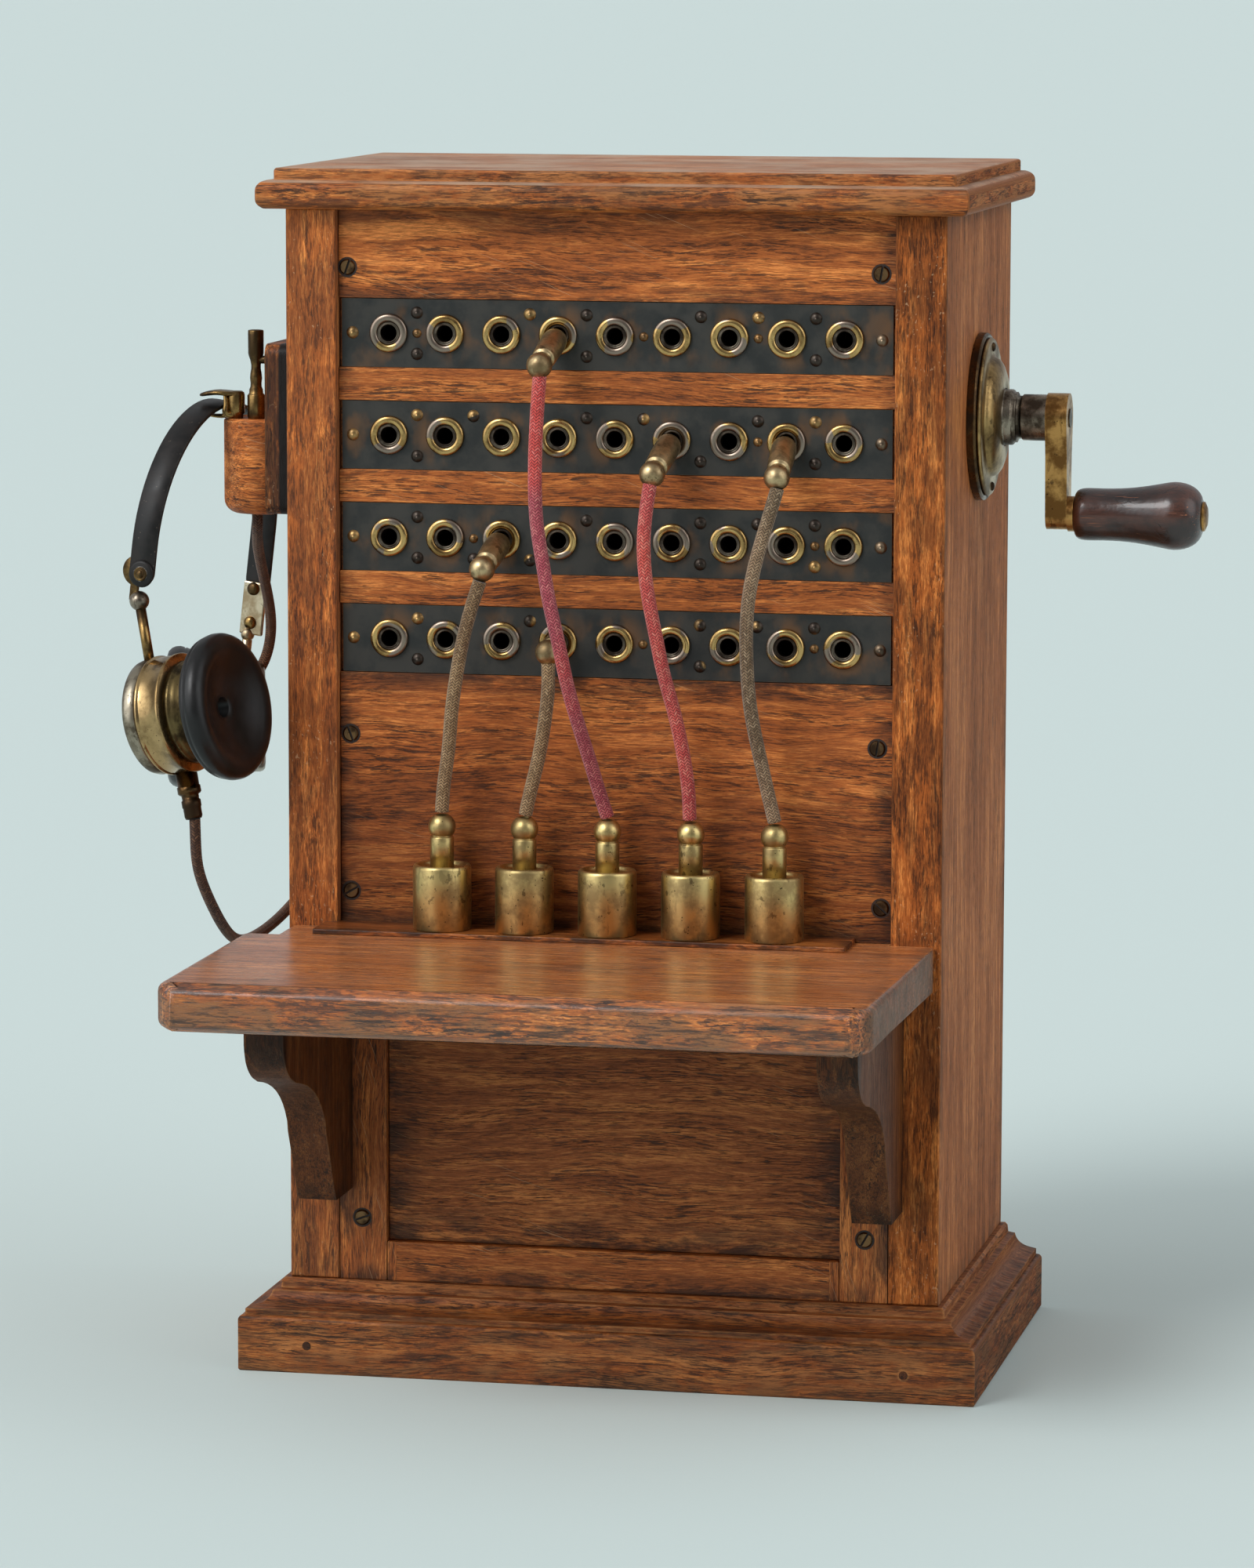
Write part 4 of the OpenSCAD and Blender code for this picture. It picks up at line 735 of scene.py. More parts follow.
# %% Rivets by their place
PITCH, ROW_STEP, ROW_LOW = 24.2 * MM, 42.8 * MM, 312.9 * MM
END_RIVETS, ROW_RIVETS, RIGHT_END = (106 * MM, 108 * MM), (5 * MM, 4 * MM), (90 * MM, 100 * MM)


def off_rhythm(g, value, step):
    """How far a value is from the nearest whole number of steps, with its sign."""
    return g.math("SUBTRACT", value, g.times(g.math("ROUND", g.math("DIVIDE", value, step)), step))


def rivet_heads():
    """Brass at the strips' ends, coppery small ones, and dark or worn others."""
    made, g, shader = new_material("rivet_heads")
    here = g.place()
    x, _, z = g.split(here)
    off_z = g.math("ABSOLUTE", off_rhythm(g, g.math("SUBTRACT", z, ROW_LOW), ROW_STEP))
    at_end = g.band(g.math("ABSOLUTE", x), *END_RIVETS)
    small = g.times(g.band(off_z, *ROW_RIVETS), g.math("SUBTRACT", 1.0, at_end))
    pick = g.noise(g.scaled(here, (55, 1, 75)), 1.0, 0)
    bare = g.math("MAXIMUM", at_end, g.band(pick, 0.54, 0.58))
    brass = g.mix(g.band(x, *RIGHT_END), srgb(166, 132, 84), srgb(126, 108, 88))
    colour = g.mix(bare, srgb(66, 58, 52), brass)
    colour = g.mix(small, colour, srgb(128, 96, 60))
    wear = use(g, METAL_WEAR, {"Place": here, "Seed": 5.0, "Cloud": 200.0})
    colour = g.mix(g.band(wear["Patina"], 0.42, 0.66, 0.0, 0.7), colour, srgb(52, 44, 38))
    set_shader(g, shader, Base_Color=colour, Metallic=0.9, Roughness=0.36)
    return made


RIVET_METAL = rivet_heads()
print("rivets:", len(RIVET_METAL.node_tree.nodes), "nodes")

# %% [markdown]
# ## Blued strips
#
# The jacks sit in steel strips that were heated until they went blue-black, with brown marks
# left round the jacks. The marks could be painted; since the jacks stand at an even pitch, the
# distance to the nearest one is simple arithmetic, and a band of it, broken by noise, is brown.

# %% Strip steel
HEAT_REACH, HEATED_END = (17 * MM, 7 * MM), (92 * MM, 116 * MM)


def strip_steel():
    """Blue-black jack strips with brown heat marks round the jacks and at the strips' ends."""
    made, g, shader = new_material("strip_steel")
    here = g.place()
    x, _, z = g.split(here)
    wear = use(g, METAL_WEAR, {"Place": here, "Seed": 4.0, "Cloud": 90.0})
    off_x = off_rhythm(g, x, PITCH)
    off_z = off_rhythm(g, g.math("SUBTRACT", z, ROW_LOW), ROW_STEP)
    far = g.vector("LENGTH", g.join(off_x, off_z, 0.0), output=1)
    cloud = g.noise(g.scaled(here, (1, 1, 0.7)), 68, 4, 0.5)
    heat = g.times(g.band(far, *HEAT_REACH), g.band(cloud, 0.50, 0.66))
    ends = g.band(g.math("ABSOLUTE", x), *HEATED_END)
    heat = g.math("MAXIMUM", heat, g.times(ends, g.band(cloud, 0.50, 0.68, 0.0, 0.8)))
    colour = g.mix(g.band(wear["Patina"], 0.36, 0.64), srgb(46, 47, 46), srgb(62, 60, 56))
    colour = g.mix(g.times(heat, 0.6), colour, srgb(124, 84, 48))
    # Lighter edges: rubbed steel, with a painted highlight line along the arrises.
    rubbed = use(g, WORN_EDGES, {"Radius": 0.5 * MM, "Place": here, "Grain": 300.0})["Mask"]
    colour = g.mix(g.times(rubbed, 0.5), colour, srgb(120, 96, 70))
    gloss = g.band(wear["Patina"], 0.3, 0.7, 0.38, 0.6)
    height = g.math("SUBTRACT", wear["Patina"], wear["Pits"])
    set_shader(g, shader, Base_Color=colour, Metallic=0.5, Roughness=gloss,
               Normal=bumped(g, height, PIT_DEEP, 0.4))
    return made


STRIP_STEEL = strip_steel()
print("strip steel:", len(STRIP_STEEL.node_tree.nodes), "nodes")

# %% [markdown]
# ## Cotton
#
# The cords are cotton, dyed in different colours and dirty from years of hands. Fibres could be
# grown as hair, but at arm's length the eye sees only yarn, flecks and the shade in the hollows
# between yarns. The braid group gives each yarn a random value, which picks its colour, and its
# height paints that shade in.

# %% Braided cotton
YARN_STEP, YARN_STARTS = 0.0013, 14


def braid(name, main, other, fleck, dark, step=YARN_STEP, starts=YARN_STARTS):
    """Braided cotton: main and other mix along the cord, with pale flecks, some dark yarns and
    painted shade in the hollows.
    """
    made, g, shader = new_material(name)
    here = g.place()
    uv = g.node("ShaderNodeUVMap", uv_map="cord").outputs[0]
    weave = use(g, BRAID_WEAVE, {"UV": uv, "Step": step, "Starts": float(starts)})
    drift = g.noise(here, 17, 2, 0.5)
    colour = g.mix(g.band(drift, 0.42, 0.58), main, other)
    colour = g.mix(g.band(weave["Yarn"], 0.4, 0.8, 0.0, 0.45), colour, fleck)
    colour = g.mix(g.band(weave["Yarn"], 0.5, 0.3, 0.0, 0.25), colour, dark)
    # Painted shade: the low parts of the weave, between the yarns, go dark.
    colour = g.mix(g.band(weave["Height"], 0.8, 0.1, 0.0, 0.9), colour, dark)
    set_shader(g, shader, Base_Color=colour, Roughness=0.85, Specular_IOR_Level=0.25,
               Sheen_Weight=0.2, Sheen_Roughness=0.5,
               Normal=bumped(g, weave["Height"], 0.3 * MM, 0.8))
    return made


print("a yarn is", YARN_STEP / MM, "mm wide,", YARN_STARTS, "go round")

# %% [markdown]
# ## Hard rubber
#
# The ear caps are vulcanised rubber, nearly black, with a dull shine and edges gone brownish.
# A plain black would do for a new cap, but a worn one in plain black looks like a hole, so
# soft clouds vary its grey and its gloss, and the worn edges catch the light.

# %% Hard rubber
def hard_rubber():
    """Near-black rubber with cloudy greys and brownish edges."""
    made, g, shader = new_material("hard_rubber")
    here = g.place()
    cloud = g.noise(here, 70, 4, 0.6)
    colour = g.mix(g.band(cloud, 0.4, 0.7), srgb(17, 16, 16), srgb(30, 28, 28))
    rubbed = use(g, WORN_EDGES, {"Radius": 1.2 * MM, "Place": here, "Grain": 300.0})["Mask"]
    colour = g.mix(g.times(rubbed, 0.3), colour, srgb(92, 78, 70))
    gloss = g.band(g.noise(here, 160, 3), 0.35, 0.7, 0.3, 0.42)
    set_shader(g, shader, Base_Color=colour, Roughness=gloss, Specular_IOR_Level=0.35,
               Normal=bumped(g, g.noise(here, 900, 2), PIT_DEEP, 0.5))
    return made


HARD_RUBBER = hard_rubber()
print("hard rubber:", len(HARD_RUBBER.node_tree.nodes), "nodes")

# %% [markdown]
# ## Lacquered grip
#
# The crank's grip is turned wood under dark lacquer that has cracked like old varnish does.
# The cracks could be cut into the mesh, but they are finer than any face. The distance to the
# borders of random cells is a net of thin lines; bending the place first keeps the net from
# looking drawn with a ruler, and scratches show the wood's orange.

# %% Lacquered wood
CRACK_BEND, CRACKS = (6 * MM, 6 * MM, 6 * MM), (110, 230, 230)


def lacquered_wood():
    """Dark cracked lacquer with the wood's orange in its scratches."""
    made, g, shader = new_material("lacquered_wood")
    here = g.place()
    figure = use(g, OAK_FIGURE, {"Place": here, "Seed": 9.0})
    cloud = g.noise(g.scaled(here, (30, 60, 60)), detail=5, rough=0.62)
    colour = g.mix(g.band(cloud, 0.38, 0.64), srgb(36, 19, 16), srgb(84, 46, 32))
    colour = g.mix(g.times(figure["Dashes"], 0.6), colour, srgb(24, 13, 11))
    bend = g.noise(here, 150, 3)
    twisted = g.vector("ADD", here, g.scaled(g.join(bend, bend, bend), CRACK_BEND))
    crack = g.cells(g.scaled(twisted, CRACKS), 1.0, "DISTANCE_TO_EDGE")
    worn = g.band(g.noise(here, 75, 3), 0.5, 0.62)
    crack = g.times(g.band(crack, 0.03, 0.006), worn)
    colour = g.mix(g.times(crack, 0.8), colour, srgb(16, 9, 8))
    marks = g.noise(g.scaled(here, (60, 1200, 1200)), detail=2)
    marks = g.times(g.band(marks, 0.64, 0.68), g.band(g.noise(here, 48, 3), 0.52, 0.62))
    colour = g.mix(g.times(marks, 0.8), colour, srgb(164, 98, 62))
    dents = g.times(g.noise(here, 190, 3), 2.2)
    height = g.math("SUBTRACT", dents, g.math("ADD", crack, marks))
    set_shader(g, shader, Base_Color=colour, Roughness=0.36,
               Normal=bumped(g, height, 0.2 * MM, 0.9), Coat_Weight=0.5, Coat_Roughness=0.14)
    return made


GRIP_WOOD = lacquered_wood()
print("grip's lacquer:", len(GRIP_WOOD.node_tree.nodes), "nodes")

# %% [markdown]
# ## Blackened spring steel
#
# The headband is black japanned steel, rubbed bright along its edges where it is pulled open.
# Paint and bare metal could be two materials, but their border runs across the faces. The edge
# mask drives Metallic as well as the colour, so that the bare line mirrors like steel while the
# black stays a paint.

# %% Black band
def black_band():
    """Black japanned steel that shines where its edges are rubbed bare."""
    made, g, shader = new_material("black_band")
    here = g.place()
    rubbed = use(g, WORN_EDGES, {"Radius": 0.7 * MM, "Place": here, "Grain": 260.0})["Mask"]
    wear = use(g, METAL_WEAR, {"Place": here, "Seed": 2.0, "Cloud": 120.0})
    colour = g.mix(g.band(wear["Patina"], 0.4, 0.65), srgb(15, 13, 12), srgb(30, 25, 23))
    colour = g.mix(g.times(wear["Pits"], 0.5), colour, srgb(110, 96, 84))
    colour = g.mix(rubbed, colour, srgb(196, 188, 176))
    gloss = g.band(wear["Patina"], 0.3, 0.7, 0.36, 0.5)
    set_shader(g, shader, Base_Color=colour, Metallic=g.band(rubbed, 0.2, 0.8, 0.0, 1.0),
               Roughness=gloss, Specular_IOR_Level=0.3)
    return made


BAND_BLACK = black_band()
print("band's black:", len(BAND_BLACK.node_tree.nodes), "nodes")

# %% [markdown]
# ## Every board's own wear
#
# Each board was cut from another plank and led another life: the shelf was leaned on, the base
# was kicked, the inner boards only gathered dust. Eighteen calls could stand one below another,
# but a table is easier to compare: it gives each board the axis of its grain, a seed for its
# figure, what befell it, and the painted light and shade that some boards get.

# %% Boards
# Name, (along the grain, across it, seed), what differs from plain oak.
MATERIALS = {name: oak(name, *grain, **looks) for name, grain, looks in (
    ("front_panel", ("x", "z", 1.3), dict(edge=0.8, worn=0.35, pale=0.22,
                                          deep=(0.215, 0.28, 0.62))),
    ("top_rail", ("x", "z", 2.1), dict(tint=1.1, edge=0.8, worn=0.35, grime=0.6)),
    ("jack_board", ("x", "z", 3.7), dict(tint=0.96, edge=0.8, worn=0.5, grime=0.5)),
    ("left_side", ("z", "y", 4.2), dict(tint=1.2, edge=1.2, grime=0.4, side_grey=0.3,
                                        dashes=0.7, deep=(0.14, 0.22, 0.6))),
    ("right_side", ("z", "y", 5.9), dict(edge=1.2, worn=0.9, grime=0.5, dashes=0.75,
                                         side_grey=0.25, coat=0.0, rough=0.6, shine=0.15)),
    ("lower_frame", ("z", "x", 6.4), dict(tint=0.8, worn=0.4, rail=LOWER_RAIL)),
    ("lower_panel", ("x", "z", 7.2), dict(tint=0.62, worn=0.3, border=20)),
    ("shelf", ("x", "y", 8.8), dict(tint=1.1, dashes=0.95, grime=0.6, worn=1.1, edge=3.0,
                                    battered=1.0, rough=0.26, coat=0.6, haze=0.1,
                                    side_grey=0.55, pale=0.5, shine=0.4)),
    ("shelf_brackets", ("z", "y", 9.1), dict(tint=0.27, grey=0.2, edge=1.6, worn=0.8, coat=0.0,
                                             shine=0.2)),
    ("seat_strip", ("x", "y", 10.3), dict(tint=0.75, edge=0.7, rough=0.32, coat=0.5)),
    ("cornice", ("x", "y", 11.6), dict(tint=0.92, worn=1.0, edge=2.0, battered=0.8, mitred=True,
                                       grime=0.3, haze=0.62)),
    ("plinth", ("x", "z", 12.4), dict(tint=0.6, worn=1.1, edge=2.4, battered=0.8, mitred=True,
                                      grime=0.5)),
    ("plinth_moulding", ("x", "y", 13.5), dict(tint=0.6, worn=1.1, edge=2.0, battered=0.5,
                                               mitred=True, grime=0.5)),
    ("back_rails", ("x", "z", 14.7), dict(tint=0.9)),
    ("back_door", ("z", "x", 15.1), dict(tint=0.95)),
    ("hook_board", ("z", "y", 16.2), dict(tint=0.8, edge=1.2, worn=0.9, shaded=-145.5 * MM)),
    ("hook_block", ("x", "z", 17.9), dict(tint=1.3, edge=1.4, worn=0.9, grime=0.4)),
    ("wood_pegs", ("y", "z", 18.3), dict(tint=0.35, worn=0.1)),
)}
print(len(MATERIALS), "boards")

# %% [markdown]
# ## Brass, steel and nickel
#
# The fittings were cut from different bars and handled differently: cups are pale and satin, the
# hook is nearly brown, screws are dark. Each could be a material built from nothing; all share
# the old-metal recipe, with their own clean colour, their own patina, and how much there is.

# %% Metals of the jacks, plugs and cups
BUSH_STEEL = metal("bush_steel", srgb(104, 94, 82), srgb(50, 42, 36), 9, rough=(0.34, 0.48))
PLUG_BRASS = metal("plug_brass", srgb(196, 172, 130), srgb(126, 106, 76), 12, amount=(0.4, 0.62),
                   rough=(0.34, 0.48))
CUP_BRASS = metal("cup_brass", srgb(208, 184, 124), srgb(158, 136, 92), 2, amount=(0.42, 0.62),
                  rough=(0.34, 0.46), pits=1.0, streaks=0.5)
print("cord cups:", CUP_BRASS.name, "and plugs:", PLUG_BRASS.name)

# %% Metals of the crank and the hook
AGED_BRASS = metal("aged_brass", srgb(170, 140, 92), srgb(104, 82, 52), 4, amount=(0.4, 0.64),
                   rough=(0.28, 0.44), cloud=60)
HOOK_BRASS = metal("hook_brass", srgb(146, 116, 70), srgb(70, 54, 36), 21, amount=(0.38, 0.6),
                   rough=(0.24, 0.4), cloud=80)
DARK_BRASS = metal("dark_brass", srgb(92, 68, 42), BRASS_DARK, 3)
SCREW_METAL = metal("screw_metal", srgb(120, 92, 62), srgb(58, 44, 32), 15, rough=(0.34, 0.5))
DARK_STEEL = metal("dark_steel", srgb(150, 138, 122), srgb(76, 66, 56), 6, amount=(0.38, 0.6),
                   rough=(0.26, 0.44), cloud=120, pits=1.0)
print("crank plate:", AGED_BRASS.name, "and boss:", DARK_STEEL.name)

# %% Metals of the receivers and the arm
CASE_BRASS = metal("case_brass", srgb(182, 152, 106), srgb(116, 94, 62), 7, amount=(0.42, 0.66),
                   rough=(0.2, 0.34), cloud=70, streaks=0.2)
PLATE_NICKEL = metal("plate_nickel", srgb(206, 190, 162), srgb(158, 138, 108), 18, worn=1.0,
                     amount=(0.42, 0.62), rough=(0.28, 0.42), cloud=120)
CASE_NICKEL = metal("case_nickel", srgb(156, 146, 128), srgb(92, 82, 68), 8, amount=(0.42, 0.62),
                    rough=(0.3, 0.46))
ARM_BRASS = metal("arm_brass", srgb(190, 144, 84), srgb(122, 86, 46), 21, worn=1.0, edge=1.2,
                  amount=(0.44, 0.58), rough=(0.28, 0.4), cloud=70, streaks=0.5, pits=1.0)
OLIVE_BRASS = metal("olive_brass", srgb(108, 92, 60), srgb(50, 42, 29), 31, rough=(0.36, 0.5))
MAGNET_PAINT = metal("magnet_paint", srgb(120, 30, 22), srgb(60, 20, 16), 8)
print("receivers:", CASE_BRASS.name, "in front,", CASE_NICKEL.name, "behind")

# %% [markdown]
# ## A painted shadow round the screws
#
# A sunk screw sits in a ring of shade, and its slot is dark. A disc under each head paints that
# shadow, round the head and through the slot. A plain dark colour would do from afar; clots of
# two browns, too rough to catch any light, keep the slots from looking like holes.

# %% Painted screw shadow
def clotted_grime():
    """A painted shadow: two dull browns in clots, without any shine."""
    made, g, shader = new_material("grime")
    clots = g.noise(g.place(), 420, 4)
    colour = g.mix(g.band(clots, 0.35, 0.65), srgb(24, 15, 11), srgb(54, 36, 26))
    set_shader(g, shader, Base_Color=colour, Roughness=g.band(clots, 0.3, 0.7, 0.6, 0.85))
    return made


GRIME = clotted_grime()
print("grime:", len(GRIME.node_tree.nodes), "nodes")

# %% [markdown]
# ## Who wears what
#
# The parts that keep their CAD mesh need their finish by name. Each could be given its material
# by hand, but a list shows at a glance which share one. The signalling generator is hidden while
# the door is shut, and it is dressed too, because the door opens.

# %% What each CAD node wears
WORN_BY = ((AGED_BRASS, ("generator_frame", "drive_gear", "door_hinges", "door_leaves",
                         "door_knob")),
           (DARK_STEEL, ("crank_shaft", "armature", "jack_springs")),
           (ARM_BRASS, ("crank_arm",)), (DARK_BRASS, ("escutcheon_ring",)),
           (RIVET_METAL, ("strip_rivets",)), (MAGNET_PAINT, ("generator_magnets",)),
           (STRIP_STEEL, ("jack_strips",)), (GRIP_WOOD, ("crank_grip",)))
for finish, nodes in WORN_BY:
    MATERIALS.update(dict.fromkeys(nodes, finish))
print(len(MATERIALS), "nodes have a finish")

# %% [markdown]
# ## Shading the CAD parts
#
# A CAD mesh is many loose triangles. Joined at their corners they can be shaded: smooth across
# a turned face, sharp at an arris. That could be done in Edit Mode by hand; a geometry node
# group does it for every part alike, and a small bevel gives the arrises the line of light
# that a real edge has.

# %% Soft shading
WELD_DISTANCE, SMOOTH_UNDER = 0.005 * MM, math.radians(32)


def soft_shading():
    """Geometry nodes that weld a CAD mesh and shade it smooth between its sharp edges."""
    tree = bpy.data.node_groups.new("soft_shading", "GeometryNodeTree")
    tree.interface.new_socket("Geometry", in_out="INPUT", socket_type="NodeSocketGeometry")
    tree.interface.new_socket("Geometry", in_out="OUTPUT", socket_type="NodeSocketGeometry")
    nodes, links = tree.nodes, tree.links
    start, end = nodes.new("NodeGroupInput"), nodes.new("NodeGroupOutput")
    weld = nodes.new("GeometryNodeMergeByDistance")
    weld.inputs["Distance"].default_value = WELD_DISTANCE
    angle = nodes.new("GeometryNodeInputMeshEdgeAngle")
    small = nodes.new("FunctionNodeCompare")
    small.operation = "LESS_THAN"
    small.inputs[1].default_value = SMOOTH_UNDER
    faces = nodes.new("GeometryNodeSetShadeSmooth")
    faces.domain = "FACE"
    edges = nodes.new("GeometryNodeSetShadeSmooth")
    edges.domain = "EDGE"
    links.new(start.outputs[0], weld.inputs[0])
    links.new(weld.outputs[0], faces.inputs[0])
    links.new(faces.outputs[0], edges.inputs[0])
    links.new(angle.outputs[0], small.inputs[0])
    links.new(small.outputs[0], edges.inputs["Shade Smooth"])
    links.new(edges.outputs[0], end.inputs[0])
    return tree


SOFT_SHADING = soft_shading()
print("faces meeting under", round(math.degrees(SMOOTH_UNDER)), "degrees are shaded smooth")

# %% Dressing the CAD nodes
# How far each arris is rounded, in millimetres.
ROUNDING = {"left_side": 0.9, "right_side": 0.9, "top_rail": 0.4, "jack_board": 0.35,
            "front_panel": 0.4, "lower_frame": 0.5, "lower_panel": 0.4, "shelf_brackets": 0.8,
            "seat_strip": 0.5, "hook_board": 0.8, "back_door": 0.8, "back_rails": 0.5,
            "escutcheon_ring": 0.3}
CORNER_ANGLE = math.radians(40)


def dress(name):
    """Gives a CAD node its material, its smooth shading and the rounding of its corners."""
    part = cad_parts[name]
    part.data.materials.clear()
    part.data.materials.append(MATERIALS[name])
    smooth = part.modifiers.new("soft_shading", "NODES")
    smooth.node_group = SOFT_SHADING
    if name in ROUNDING:
        bevel = part.modifiers.new("rounding", "BEVEL")
        bevel.width, bevel.segments = ROUNDING[name] * MM, 2
        bevel.limit_method, bevel.angle_limit = "ANGLE", CORNER_ANGLE
        bevel.harden_normals = True


dressed = [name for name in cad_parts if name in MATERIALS]
for name in dressed:
    dress(name)
print(len(dressed), "CAD nodes dressed")

# %% [markdown]
# ## A lathe
#
# Jacks, plugs, cups and receivers were turned on a lathe. The Screw modifier can spin a drawn
# line, but it makes one object per line; this helper spins an outline of (radius, distance
# along the axis) points in millimetres straight into a mesh, so that a whole row of jacks is
# one piece and each outline can have its own metal.

# %% Spinning an outline
SIDES, FINE_SIDES, SMALL_SIDES, ROD_SIDES, SHARP = 48, 96, 32, 24, 40
ON_AXIS, QUARTER_TURN = 0.001, math.radians(90)


def is_smooth(edge, sharp):
    """Whether two faces meet at that edge, at less than that many degrees."""
    return len(edge.link_faces) == 2 and edge.calc_face_angle(0) < math.radians(sharp)


def spin(mesh, outline, place, sides=SIDES, slot=0):
    """Adds an outline of (radius, along) points, spun round the local Z axis, to a bmesh."""
    rings = []
    for radius, along in outline:
        if radius < ON_AXIS:
            rings.append([mesh.verts.new(place @ Vector((0, 0, along * MM)))])
            continue
        rings.append([mesh.verts.new(place @ Vector((radius * MM * math.cos(turn),
                                                     radius * MM * math.sin(turn), along * MM)))
                      for turn in (2 * math.pi * k / sides for k in range(sides))])
    made = []
    for low, high in zip(rings, rings[1:]):
        for k in range(sides):
            ring = [low[k % len(low)], low[(k + 1) % len(low)], high[(k + 1) % len(high)],
                    high[k % len(high)]]
            corners = list(dict.fromkeys(ring))
            if len(corners) > 2:
                made.append(mesh.faces.new(corners))
    for face in made:
        face.smooth = True
        face.material_index = slot
    for edge in {e for f in made for e in f.edges}:
        edge.smooth = is_smooth(edge, SHARP)


print("a turned piece has", SIDES, "sides, a large one", FINE_SIDES, "and a thin one", ROD_SIDES)

# %% Smooth lines and arcs
def smooth_path(points, per_step=4):
    """A smooth line through the points, with per_step pieces between neighbours."""
    found = []
    for i in range(len(points) - 1):
        a, b = points[max(0, i - 1)], points[i]
        c, d = points[i + 1], points[min(len(points) - 1, i + 2)]
        for k in range(per_step):
            t = k / per_step
            found.append(0.5 * (2 * b + (c - a) * t + (2 * a - 5 * b + 4 * c - d) * t * t
                                + (3 * b - a - 3 * c + d) * t ** 3))
    return found + [points[-1]]


def round_part(centre_r, centre_a, radius, start, end, steps):
    """Points on an arc of an outline, in degrees from the radial way towards the axis's way."""
    return [(centre_r + radius * math.cos(math.radians(start + (end - start) * i / steps)),
             centre_a + radius * math.sin(math.radians(start + (end - start) * i / steps)))
            for i in range(steps + 1)]


print("a quarter of a 1 mm ball:", [round(c[0], 2) for c in round_part(0, 0, 1, 0, 90, 3)])

# %% From a mesh to a seated piece
def as_object(name, mesh):
    """Turns a bmesh into an object of the scene."""
    data = bpy.data.meshes.new(name)
    mesh.to_mesh(data)
    mesh.free()
    made = bpy.data.objects.new(name, data)
    scene.collection.objects.link(made)
    return made


def finish_mesh(name, mesh, materials):
    """An object whose faces look outwards, with the materials in the order of its slots."""
    bmesh.ops.recalc_face_normals(mesh, faces=mesh.faces)
    made = as_object(name, mesh)
    for material in materials:
        made.data.materials.append(material)
    return made


def settle(piece, body, node, slot="aged_brass"):
    """Rides a piece on its body, in place of a CAD node; its slot is not used."""
    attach(piece, body)
    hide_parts(node)
    print(piece.name, "replaces", node, "on", body, "with", len(piece.data.polygons), "faces")
    return piece


def add_turned(name, outlines, places, materials, body, node, slot="aged_brass", sides=SIDES):
    """One piece made of outlines spun at several places, in place of a CAD node."""
    mesh = bmesh.new()
    for place in places:
        for number, outline in enumerate(outlines):
            spin(mesh, outline, place, sides, min(number, len(materials) - 1))
    return settle(finish_mesh(name, mesh, materials), body, node, slot)


print("helpers for pieces:", finish_mesh.__name__, settle.__name__, add_turned.__name__)

# %% [markdown]
# ## Jacks
#
# A jack is a fat round brass rim, polished by years of plugs, and inside it a darker steel bush
# that leads into the bore. The CAD rim is plain, so each jack is spun anew. An array could
# repeat one jack, but then all would carry the same scratches; spinning each at its own angle
# and place lets the rim's two metals fall differently on every one.

# %% Where the jacks are
# The cabinet's front face, and how far behind it the strips' face lies.
FRONT, STRIP_SUNK = -79.75 * MM, 5 * MM
STRIP_FACE = FRONT + STRIP_SUNK
ROWS, COLUMNS, RIM_OUT, BORE = 4, 9, 8.2, 3.65


def jack_place(row, column, out=0.0):
    """A matrix whose Z axis points out of that jack; row 1 is on top, column 1 on the left."""
    at = Vector(((column - (COLUMNS + 1) / 2) * PITCH, STRIP_FACE - out,
                 ROW_LOW + (ROWS - row) * ROW_STEP))
    return Matrix.Translation(at) @ Matrix.Rotation(QUARTER_TURN, 4, "X")


print("first jack at", [round(v / MM, 1) for v in jack_place(1, 1).translation], "mm")

# %% The jacks' outlines
def jack_outlines():
    """The rim's and the bush's outlines in millimetres, from the strip's face outwards."""
    rim = [(RIM_OUT, -0.2), (RIM_OUT, 0.5), (8.12, 1.0), (7.8, 1.5), (7.2, 1.85), (6.5, 1.95),
           (5.8, 1.9), (5.25, 1.65), (4.9, 1.25), (4.75, 0.7), (4.7, 0.0)]
    bush = [(4.75, 0.9), (4.5, 0.6), (4.2, 0.55), (3.9, 0.75), (3.6, 0.7), (3.45, 0.4),
            (3.4, -2.0), (BORE, -2.6), (BORE, -16.0), (5.2, -16.0), (5.2, 0.0)]
    return rim, bush


# Each jack is turned by its own angle, in radians, so that no two look alike.
TURN_BY_ROW, TURN_BY_COLUMN = 1.7, 2.3
for row in range(1, ROWS + 1):
    places = [jack_place(row, column)
              @ Matrix.Rotation(row * TURN_BY_ROW + column * TURN_BY_COLUMN, 4, "Z")
              for column in range(1, COLUMNS + 1)]
    add_turned(f"turned_jacks_{row}", jack_outlines(), places, (JACK_BRASS, BUSH_STEEL),
               "cabinet", f"jack_row_{row}")

# %% [markdown]
# ## Plugs
#
# A plug has a thin shank in the jack, a sleeve that the fingers hold, a short neck, and a ball
# that covers the cord's end. Its own weight lets it droop in a worn jack, so the shank stays
# level in the bore while the sleeve hangs at an angle of its own. Two spun outlines do that
# without bending anything.

# %% A plug's outline
SHANK_R, SLEEVE_R, BALL_R, SHANK_DROP = 2.7, 5.3, 5.4, 0.8 * MM
SHANK = [(0, -15.4), (1.6, -15.1), (SHANK_R, -13.2), (SHANK_R, 3.4), (0, 3.4)]


